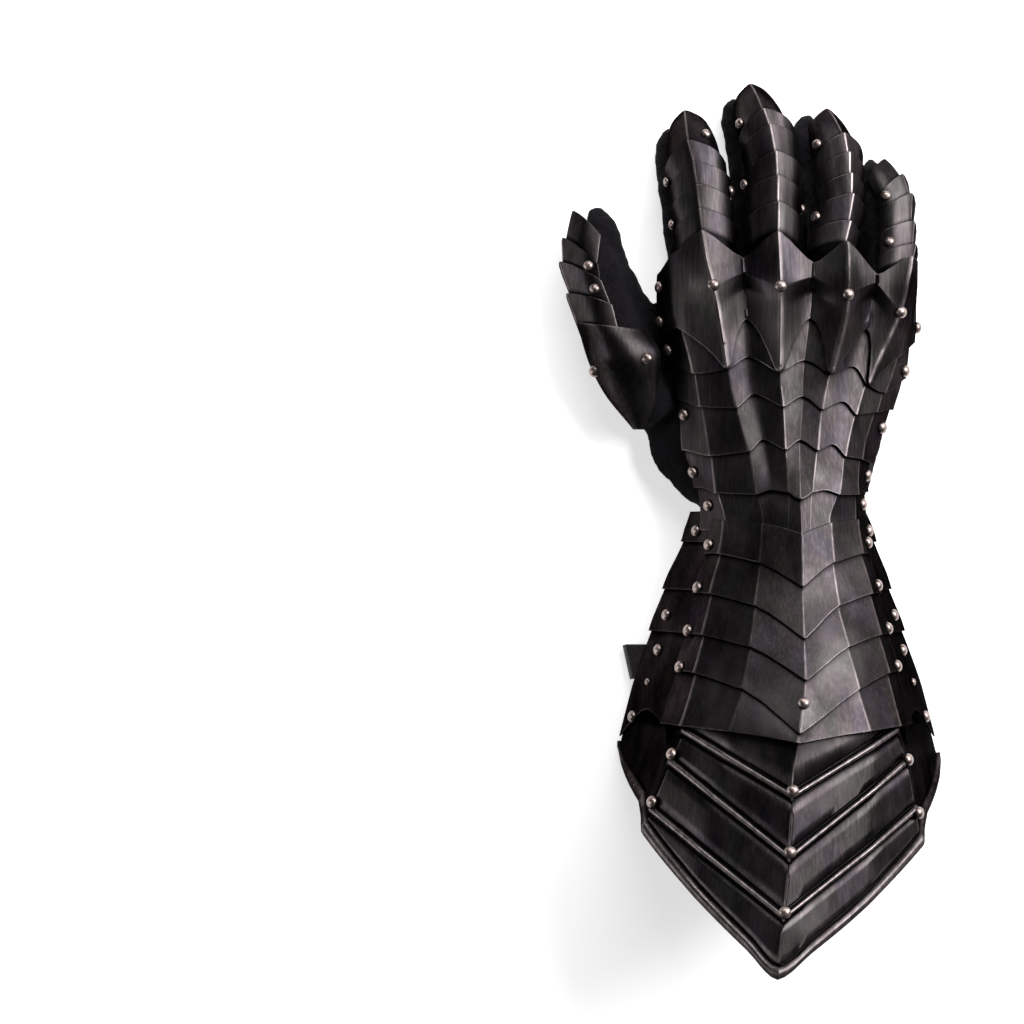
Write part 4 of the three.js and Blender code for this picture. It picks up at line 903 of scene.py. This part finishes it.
def finger_plates(name, finger):
    last = len(finger["ridge"]) - 2

    def width(t):
        return 1 - (1 - finger["tip"]) * clamp(t) ** TIP_CURVE

    for k in range(1, last + 2):
        tip = k == last + 1
        begin = k - 1 - LAP if k > 1 else -ROOT_LAP
        covered = (k - 1 - begin) / (k - begin)

        def spot(t, degrees):
            row = lerp(begin, k, t)
            if tip:
                return on_finger(finger, row, degrees, TIP_LIFT * clamp(t / covered), width(row - last))
            return on_finger(finger, row, degrees, FINGER_RISE * t)

        def marks(t, degrees):
            side = abs(degrees) >= HALF_WRAP
            wear = EDGE_WEAR if t == 1 or side else RIDGE_WEAR if degrees == 0 else 0.0
            # The second mark is painted shade just past the edge of the plate above.
            return wear, clamp(1 - (t - covered) / FINGER_SHADE)

        clean = covered + FINGER_SHADE
        steps = sorted({0, covered * 0.5, covered, covered + 0.06, clean}
                       | {lerp(clean, 1, f) for f in (0.2, 0.4, 0.55, 0.7, 0.82, 0.9, 0.96, 1)})
        steel_plate(f"{name}_tip" if tip else f"{name}_lame_{k}", steps, FINGER_ANGLES, spot, marks,
                    rounded=0.25)
        for row, degrees in finger["rivets"]:
            if k - 1 < row < k:
                _, _, up, side, _ = finger_frame(finger, row)
                a = math.radians(degrees)
                rivet(spot((row - begin) / (k - begin), degrees),
                      up * math.cos(a) + side * math.sin(a), FINGER_RIVET)


# The plate over the root of the thumb: left and right ends of its rows, and its bulge
THUMB_BASE = [((-97.5, 36, 15.5), (-67, 32, 31), 16.5), ((-93, 19, 18), (-59.5, 20, 31), 15.5),
              ((-86, 4, 21), (-61, 2, 30), 7.5), ((-72, -14, 26), (-66, -14, 28), 1.5)]
THUMB_BASE_ROUND = 0.7
THUMB_BASE_RIVETS = [(1.1, 0.88), (1.4, 0.1)]


def thumb_base_point(v, u, deeper=0.0):
    stops = list(range(len(THUMB_BASE)))
    read = [smooth_curve(stops, [row[end][axis] for row in THUMB_BASE])
            for end in (0, 1) for axis in range(3)]
    left, right = Vector([at(v) for at in read[:3]]), Vector([at(v) for at in read[3:]])
    bulge = smooth_curve(stops, [row[2] for row in THUMB_BASE])(v)
    out = Vector((left.z - right.z, 0, right.x - left.x)).normalized()
    return left.lerp(right, u) + out * (bulge * math.sin(math.pi * u) ** THUMB_BASE_ROUND - deeper)


def thumb_base():
    rows = [0, 0.06] + [k * 0.2 for k in range(1, 15)] + [2.94, 3]
    columns = [0, 0.02] + [k * 0.06 for k in range(1, 17)] + [0.98, 1]
    steel_plate("thumb_base", rows[::-1], columns, thumb_base_point,
                lambda v, u: (EDGE_WEAR if v in (0, 3) or u in (0, 1) else 0.0, 0.0))
    for v, u in THUMB_BASE_RIVETS:
        here = thumb_base_point(v, u)
        rivet(here, here - thumb_base_point(v, u, 1.0))


# Glove: the palm lies flat, its back follows the plates at a clearance. Each row is its length y,
# the left edge's x and z, the right edge's, the sole's two x and its z, how far the back is under
# the plates, and the first and last column that it reaches
PALM = [
    (55, -56, 13, 52, 8, -47, 41, 7, 2.6, 1.1, 10.7),
    (50, -60, 11, 55.5, 6.5, -51, 46, 2.5, 2.6, 1, 10.9),
    (42, -62, 10, 56.5, 6, -54, 48, 0, 2.6, 1, 11),
    (20, -64, 10, 54.5, 7, -55, 45, 0, 2.6, 1, 11),
    (-5, -66, 11, 49, 8, -56, 42, 0, 2.6, 0.9, 11),
    (-24, -65.5, 12, 44, 8, -55, 38, 0, 2.6, 0.6, 11.2),
    (-34, -59.5, 12, 41, 8, -50, 34, 1, 2.6, 0.5, 11.4),
    (-44, -50, 12, 38, 10, -44, 32, 3, 2.6, 0.45, 11.5),
    (-50, -41, 14, 33, 13, -35, 28, 6, 3.7, 1.6, 10.4),
    (-56, -39, 17, 32.5, 17, -33, 27, 9, 3.4, 2.4, 9.6),
    (-88, -45, 21, 38, 21, -37, 30, 12.5, 3.4, 2.4, 9.6),
    (-125, -49, 26, 43, 26, -41, 35, 14, 3.4, 2.4, 9.6),
    (-149, -51, 29, 45, 29, -43, 37, 15, 4.8, 2.5, 9.5),
]
SLEEVE_END = -149
FINGER_ROOT = 42
ROOT_CLIMB = 1.5
GLOVE_CLEAR = 1.95
GLOVE_FAT = {"index": 6, "middle": 3, "ring": 6, "little": 2.5}
GLOVE_TIP = [(0, 0.96), (0.2, 0.88), (0.38, 0.77), (0.5, 0.64), (0.6, 0.5), (0.7, 0.24)]
THUMB_PATH = [(-58, -8, 14, 10.5), (-68, 5, 15.5, 10.8), (-77, 20, 18, 10.3), (-83.8, 34.5, 18.6, 10.4),
              (-87.5, 49.5, 15.6, 10.2), (-90.6, 63, 13.2, 10), (-89.8, 70.5, 12, 8.4),
              (-88.2, 76.5, 10.8, 5)]
THUMB_FAT = 3.5
# How the suede swells beyond the plates over so many degrees, and how it creases, all in mm
SWELL = {"share": 1.3, "over": 25}
CRUMPLE = {"fold": (9, 5), "fold_depth": 0.7, "nap": 3.2, "nap_depth": 0.4, "sink": 0.2,
           "flat_under": 1.2}
PALM_STEPS = 20
SEAM = 0.8
# Where the glove swells past the plates: outer x, y and half width, the thumb's on its other side
GLOVE_SIDES = {
    "index": [(-53, 48, 7.5), (-55.1, 62, 7.5), (-57.9, 83.6, 7.5), (-60.4, 102.7, 7.5),
              (-61.6, 115, 6.6), (-60.6, 121, 5.6), (-58, 126, 4), (-55, 128.5, 1.5)],
    "middle": [(-24, 48, 9), (-27, 72, 9), (-26, 92, 8.5), (-26.7, 103, 7.6), (-27.5, 115, 7.3),
               (-29, 124, 6.6), (-30.8, 131.5, 5.6), (-29.6, 136.5, 4.6), (-26.5, 141, 3),
               (-24.5, 142.5, 1.2)],
    "ring": [(6, 48, 9), (5, 72, 9), (6, 83.6, 9), (4, 102.7, 9), (2.9, 115, 8.6), (1.9, 123, 7.6),
             (3, 127, 6.4), (6.6, 131.5, 4.4), (11, 134, 2)],
    "little": [(33, 48, 9), (32, 72, 9), (33.8, 83.5, 9), (34.4, 95.7, 8), (33.8, 103, 7),
               (34.8, 108.5, 5.5), (37.6, 112.3, 3), (39.3, 113.6, 1.2)],
    "thumb": [(-55, 20, 9.5), (-58, 34, 9.5), (-65, 46, 9.5), (-70, 56, 9.5), (-74.8, 66, 9),
              (-77.4, 78.3, 8), (-81, 85, 6), (-86, 89.3, 4), (-89.5, 91, 1.5)],
}
VOXEL = 1.8


def tube(name, rings):
    """A closed tube through rings of the same number of points, with both ends filled."""
    wide = len(rings[0])
    piece = grid_of(name, list(range(len(rings))), list(range(wide + 1)), lambda k, j: rings[k][j % wide])
    weld(piece, 0.02)
    return piece


def circle(sides):
    return [2 * math.pi * k / sides for k in range(sides)]


def round_ring(centre, along, radius, fat, facing, roll, sides=24):
    """A ring round a point, fuller beyond the plates on one side, and flat where it meets the table."""
    side = Vector((along.y, -along.x, 0)).normalized()
    ring = []
    for k in range(sides):
        degrees = 360 * k / sides - 180
        beyond = clamp((facing * (degrees - roll) - HALF_WRAP) / SWELL["over"])
        reach = radius + SWELL["share"] * fat * beyond * math.sin(math.radians(abs(degrees)))
        a = math.radians(degrees)
        spot = centre + side * math.sin(a) * reach
        spot.z = max(centre.z + math.cos(a) * reach, 0)
        ring.append(spot)
    return ring


def palm_ring(row):
    y, left, left_z, right, right_z, sole_l, sole_r, sole_z, under, first, last = row
    ring = []
    for k in range(PALM_STEPS + 1):
        c = lerp(first, last, k / PALM_STEPS)
        spot = back(y, c) - outward(y, c) * under
        ring.append(Vector((spot.x, y, spot.z)))
    corners = [(right, right_z), (sole_r, sole_z), ((sole_l + sole_r) / 2, sole_z), (sole_l, sole_z),
               (left, left_z)]
    return ring + [Vector((x, y, z)) for x, z in corners]


def glove_finger(name):
    finger = FINGERS[name]
    last = len(finger["ridge"]) - 2
    centre, along, *_, radius = finger_frame(finger, 0)
    root = centre + along * (FINGER_ROOT - centre.y) / along.y
    root.z = centre.z + ROOT_CLIMB
    rings = [round_ring(root, Vector((0, 1, 0)), radius - GLOVE_CLEAR, 0, -1, finger["roll"])]
    stops = [(k / 2, 1.0) for k in range(1, 2 * last)] + [(last + t, shrink) for t, shrink in GLOVE_TIP]
    for k, shrink in stops:
        centre, along, *_, radius = finger_frame(finger, k)
        fat = GLOVE_FAT[name] * shrink * min(k / 3, 1)
        rings.append(round_ring(centre, along, (radius - GLOVE_CLEAR) * shrink, fat, -1, finger["roll"]))
    return tube(f"glove_{name}_form", rings)


def glove_thumb():
    rings = []
    for k, (x, y, z, radius) in enumerate(THUMB_PATH):
        before = THUMB_PATH[max(k - 1, 0)]
        after = THUMB_PATH[min(k + 1, len(THUMB_PATH) - 1)]
        along = Vector([after[n] - before[n] for n in range(3)]).normalized()
        fat = THUMB_FAT * radius / 12 if k > 1 else 0
        rings.append(round_ring(Vector((x, y, z)), along, radius, fat, 1, FINGERS["thumb"]["roll"]))
    return tube("glove_thumb_form", rings)


def glove_side(name):
    rings = []
    inward = -1 if name == "thumb" else 1
    path = [Vector((x + inward * radius, y, radius)) for x, y, radius in GLOVE_SIDES[name]]
    for k, centre in enumerate(path):
        along = (path[min(k + 1, len(path) - 1)] - path[max(k - 1, 0)]).normalized()
        rings.append(round_ring(centre, along, GLOVE_SIDES[name][k][2], 0, 1, 0))
    return tube(f"glove_{name}_side", rings)


def crumple(piece):
    """Small creases and nap in the suede, pressed flat where it lies on the table."""
    spots = [(vertex.co.copy(), vertex.normal.copy()) for vertex in piece.data.vertices]
    places = []
    wide, long = CRUMPLE["fold"]
    for spot, normal in spots:
        p = spot / MM
        depth = (noise.noise(Vector((p.x / wide, p.y / long, p.z / wide))) * CRUMPLE["fold_depth"]
                 + noise.noise(p / CRUMPLE["nap"]) * CRUMPLE["nap_depth"] - CRUMPLE["sink"])
        moved = spot + normal * MM * (min(depth, 0) if p.z < CRUMPLE["flat_under"] else depth)
        places += [moved.x, moved.y, max(moved.z, 0)]
    piece.data.vertices.foreach_set("co", places)
    piece.data.update()


def suede_glove():
    hand = tube("glove", [palm_ring(row) for row in PALM])
    glove = join(hand, [glove_thumb()] + [glove_finger(name) for name in GLOVE_FAT]
                 + [glove_side(name) for name in GLOVE_SIDES])
    modify(glove, "REMESH", mode="VOXEL", voxel_size=VOXEL * MM)
    modify(glove, "SMOOTH", factor=0.5, iterations=4)
    crumple(glove)
    only(glove)
    bpy.ops.object.mode_set(mode="EDIT")
    bpy.ops.mesh.select_all(action="SELECT")
    bpy.ops.mesh.bisect(plane_co=(0, (SLEEVE_END + SEAM) * MM, 0), plane_no=(0, 1, 0), clear_inner=True)
    bpy.ops.object.mode_set(mode="OBJECT")
    thicken(glove, GLOVE_WALL)
    names = ["glove_hand", "glove_sleeve", "glove_thumb"] + [f"glove_{name}" for name in GLOVE_FAT]
    finish_piece(glove, SUEDE, names)


# Strap: across under the sleeve, through the buckle, out under the wall, then back in a slanted fold
STRAP_Y = -122
FOLD_X = -72
TABLE_Z = STRAP["thick"] / 2
FOLD = {"slant": 12.3, "radius": 1.4}
TAIL = 137
HOLES = {"count": 6, "pitch": 20, "first": 16, "radius": 1.6}
PIN_HOLE = {"x": -40, "z": 6, "radius": 3.1, "depth": 12}
FOLD_STEPS = 8
STRAP_RUN = [(46.4, 25), (49.2, 17.6), (47.6, 13), (42, 11.2), (-24, 11.1), (-29, 11), (-33, 9.4),
             (-44, 4.7), (-49, 3.8), (-69, 3.8)]


def round_corners(path, times=2):
    """Cuts each corner of a path of x and z, so that leather bends instead of creasing."""
    for _ in range(times):
        cut = [path[0]]
        for (ax, az), (bx, bz) in zip(path, path[1:]):
            cut += [(lerp(ax, bx, 0.25), lerp(az, bz, 0.25)), (lerp(ax, bx, 0.75), lerp(az, bz, 0.75))]
        path = cut + [path[-1]]
    return path


def level_rows(run, half):
    """The two edge points of a strip across the arm, for each x and z of its run."""
    return [(Vector((x, STRAP_Y + half, z)), Vector((x, STRAP_Y - half, z))) for x, z in run]


def ribbon(name, rows, thick):
    """A leather strip; each row is its two edge points. The worn edges are paler."""
    stops = [0, 0.04, 0.25, 0.5, 0.75, 0.96, 1]
    piece = grid_of(name, list(range(len(rows))), stops, lambda k, t: rows[k][0].lerp(rows[k][1], t),
                    lambda k, t: (1.0 if t in (0, 1) else 0.0, 0.0))
    thicken(piece, thick, middle=True)
    soften(piece, 0.45, segments=3)
    return piece


def drill(piece, places, depth):
    """Round holes along Z, each (x, y, z, radius)."""
    cutters = []
    for x, y, z, radius in places:
        bpy.ops.object.select_all(action="DESELECT")
        bpy.ops.mesh.primitive_cylinder_add(vertices=24, radius=radius * MM, depth=depth * MM)
        cutter = start_piece("cutter")
        cutter.data.transform(Matrix.Translation(Vector((x, y, z)) * MM))
        cutters.append(cutter)
    cutter = join(cutters[0], cutters[1:])
    modify(piece, "BOOLEAN", object=cutter, operation="DIFFERENCE", solver="EXACT")
    bpy.data.objects.remove(cutter)


def strap_billet():
    half = STRAP["width"] / 2
    rows = level_rows(round_corners(STRAP_RUN), half)
    slant = math.radians(FOLD["slant"])
    out = Vector((-math.cos(slant), -math.sin(slant), 0))
    line = Vector((-math.sin(slant), math.cos(slant), 0))
    origin = Vector((FOLD_X, STRAP_Y, 0))
    reach = half / math.cos(slant)
    for k in range(FOLD_STEPS + 1):
        turn = math.pi * k / FOLD_STEPS
        height = TABLE_Z + FOLD["radius"] * (1 + math.cos(turn))
        middle = origin + out * FOLD["radius"] * math.sin(turn) + Vector((0, 0, height))
        rows.append((middle + line * reach, middle - line * reach))
    away = Vector((math.cos(2 * slant), -math.sin(2 * slant), 0))
    across = Vector((math.sin(2 * slant), math.cos(2 * slant), 0))
    start = origin + Vector((0, 0, TABLE_Z))
    stops = [(12, 1)] + [(s, 1) for s in range(24, TAIL - 8, 12)]
    stops += [(TAIL - half + half * math.sin(a), math.cos(a))
              for a in (math.radians(d) for d in range(0, 86, 12))]
    for s, wide in stops:
        middle = start + away * s
        rows.append((middle + across * half * wide, middle - across * half * wide))
    piece = ribbon("strap", rows, STRAP["thick"])
    places = [start + away * (TAIL - HOLES["first"] - k * HOLES["pitch"]) for k in range(HOLES["count"])]
    drill(piece, [(*spot, HOLES["radius"]) for spot in places], STRAP["thick"] * 2)
    drill(piece, [(PIN_HOLE["x"], STRAP_Y, PIN_HOLE["z"], PIN_HOLE["radius"])], PIN_HOLE["depth"])
    finish_piece(piece, LEATHER, ("strap_billet",), angle=35)


# Buckle: a square wire frame with round corners, its pin, and the short strap that holds it
BUCKLE = {"left": -52, "right": -29, "half": 11.5, "z": 8.4, "corner": 4, "wire": 1.1}
PIN = {"radius": 0.9, "end": 0.7}
CHAPE = {"thick": 1.8, "width": 15, "slack": 0.35}
CHAPE_LOOP = BUCKLE["wire"] + CHAPE["slack"] + CHAPE["thick"] / 2
CHAPE_RUN = [(-54.3, 23), (-58.3, 14.6), (-58.2, 12), (-56.3, 10.8)]


def buckle_frame():
    left, right, half, z, corner = (BUCKLE[key] for key in ("left", "right", "half", "z", "corner"))
    centres = [(right - corner, half - corner, 0), (left + corner, half - corner, 90),
               (left + corner, corner - half, 180), (right - corner, corner - half, 270)]
    rings = []
    for x, y, start in centres:
        for turn in range(0, 91, 10):
            a = math.radians(start + turn)
            out = Vector((math.cos(a), math.sin(a), 0))
            middle = Vector((x, STRAP_Y + y, z)) + out * corner
            rings.append([middle + (out * math.cos(b) + Vector((0, 0, math.sin(b)))) * BUCKLE["wire"]
                          for b in circle(16)])
    wide = len(rings[0])
    piece = grid_of("buckle_frame_wire", list(range(len(rings) + 1)), list(range(wide + 1)),
                    lambda k, j: rings[k % len(rings)][j % wide])
    weld(piece, 0.01)
    finish_piece(piece, NICKEL, ("buckle_frame",))


def buckle_pin():
    left, right, z = BUCKLE["left"], BUCKLE["right"], BUCKLE["z"]
    path = [(left + CHAPE_LOOP + 1.2, z + 0.1), (-42, z - 0.3), (-38, 4.7),
            (right - 2, 6.1), (right + 1.5, 6.1)]
    rings = []
    run = round_corners(path)
    for k, (x, height) in enumerate(run):
        radius = PIN["radius"] * (1 if k < len(run) - 2 else PIN["end"])
        rings.append([Vector((x, STRAP_Y + radius * math.cos(b), height + radius * math.sin(b)))
                      for b in circle(14)])
    finish_piece(tube("buckle_pin_wire", rings), NICKEL, ("buckle_pin",), angle=50)


def buckle_strap():
    left, z = BUCKLE["left"], BUCKLE["z"]
    path = CHAPE_RUN + [(left + CHAPE_LOOP * math.cos(a), z + CHAPE_LOOP * math.sin(a))
                        for a in (math.radians(turn) for turn in range(90, -91, -22))]
    path.append((left - 3.4, z - CHAPE_LOOP + 0.15))
    rows = level_rows(round_corners(path, 1), CHAPE["width"] / 2)
    finish_piece(ribbon("buckle_strap_leather", rows, CHAPE["thick"]), LEATHER,
                 ("buckle_strap",), angle=35)


knuckle_plate()
hand_lames()
arm_lames()
for part_side in ("left", "right"):
    for part_number in range(len(SIDE_SEAMS)):
        side_plate(part_number, part_side)
cuff_plate()
for finger_name, finger_shape in FINGERS.items():
    finger_plates(finger_name, finger_shape)
thumb_base()
suede_glove()
strap_billet()
buckle_frame()
buckle_pin()
buckle_strap()
rivet_heads = join(RIVET_HEADS[0], RIVET_HEADS[1:])
rivet_heads.name = "rivet_heads"
finish_piece(rivet_heads, RIVET_STEEL)

# Camera, floor and light

CAMERA_AT = Vector((-128, -52, 1500))
SENSOR = 36
SEEN_WIDTH = 1024 * 0.47
bpy.ops.object.camera_add(location=CAMERA_AT * MM, rotation=(0, 0, 0))
camera = bpy.context.object
camera.data.sensor_width = SENSOR
camera.data.lens = SENSOR * CAMERA_AT.z / SEEN_WIDTH
bpy.context.scene.camera = camera

bpy.ops.object.select_all(action="DESELECT")
bpy.ops.mesh.primitive_plane_add(size=6, location=(0, 0, 0))
floor = start_piece("floor")
floor.data.transform(Matrix.Translation((0, 0, -0.8 * MM)))
paper, _, paper_shader = material("pale_backdrop")
feed(paper_shader, {"Base Color": "#f4f3f2", "Roughness": 0.9, "Emission Color": "#ffffff",
                    "Emission Strength": 0.6})
floor.data.materials.append(paper)


LIT_POINT = Vector((-20, -50, 30))


def lamp(name, place, size, power):
    bpy.ops.object.light_add(type="AREA", location=Vector(place) * MM)
    light = bpy.context.object
    light.name = name
    light.data.shape = "RECTANGLE"
    light.data.size, light.data.size_y = size
    light.data.energy = power
    light.rotation_euler = (LIT_POINT - Vector(place)).to_track_quat("-Z", "Y").to_euler()


lamp("key", (900, 450, 850), (0.7, 1.0), 31)
lamp("top", (50, 1000, 800), (0.9, 0.4), 10)
lamp("fill", (-1300, -200, 350), (0.4, 0.9), 5)
world = bpy.data.worlds.new("soft_room")
bpy.context.scene.world = world
world.use_nodes = True
feed(world.node_tree.nodes["Background"], {"Color": "#ffffff", "Strength": 0.07})
bpy.context.scene.view_settings.view_transform = "Standard"
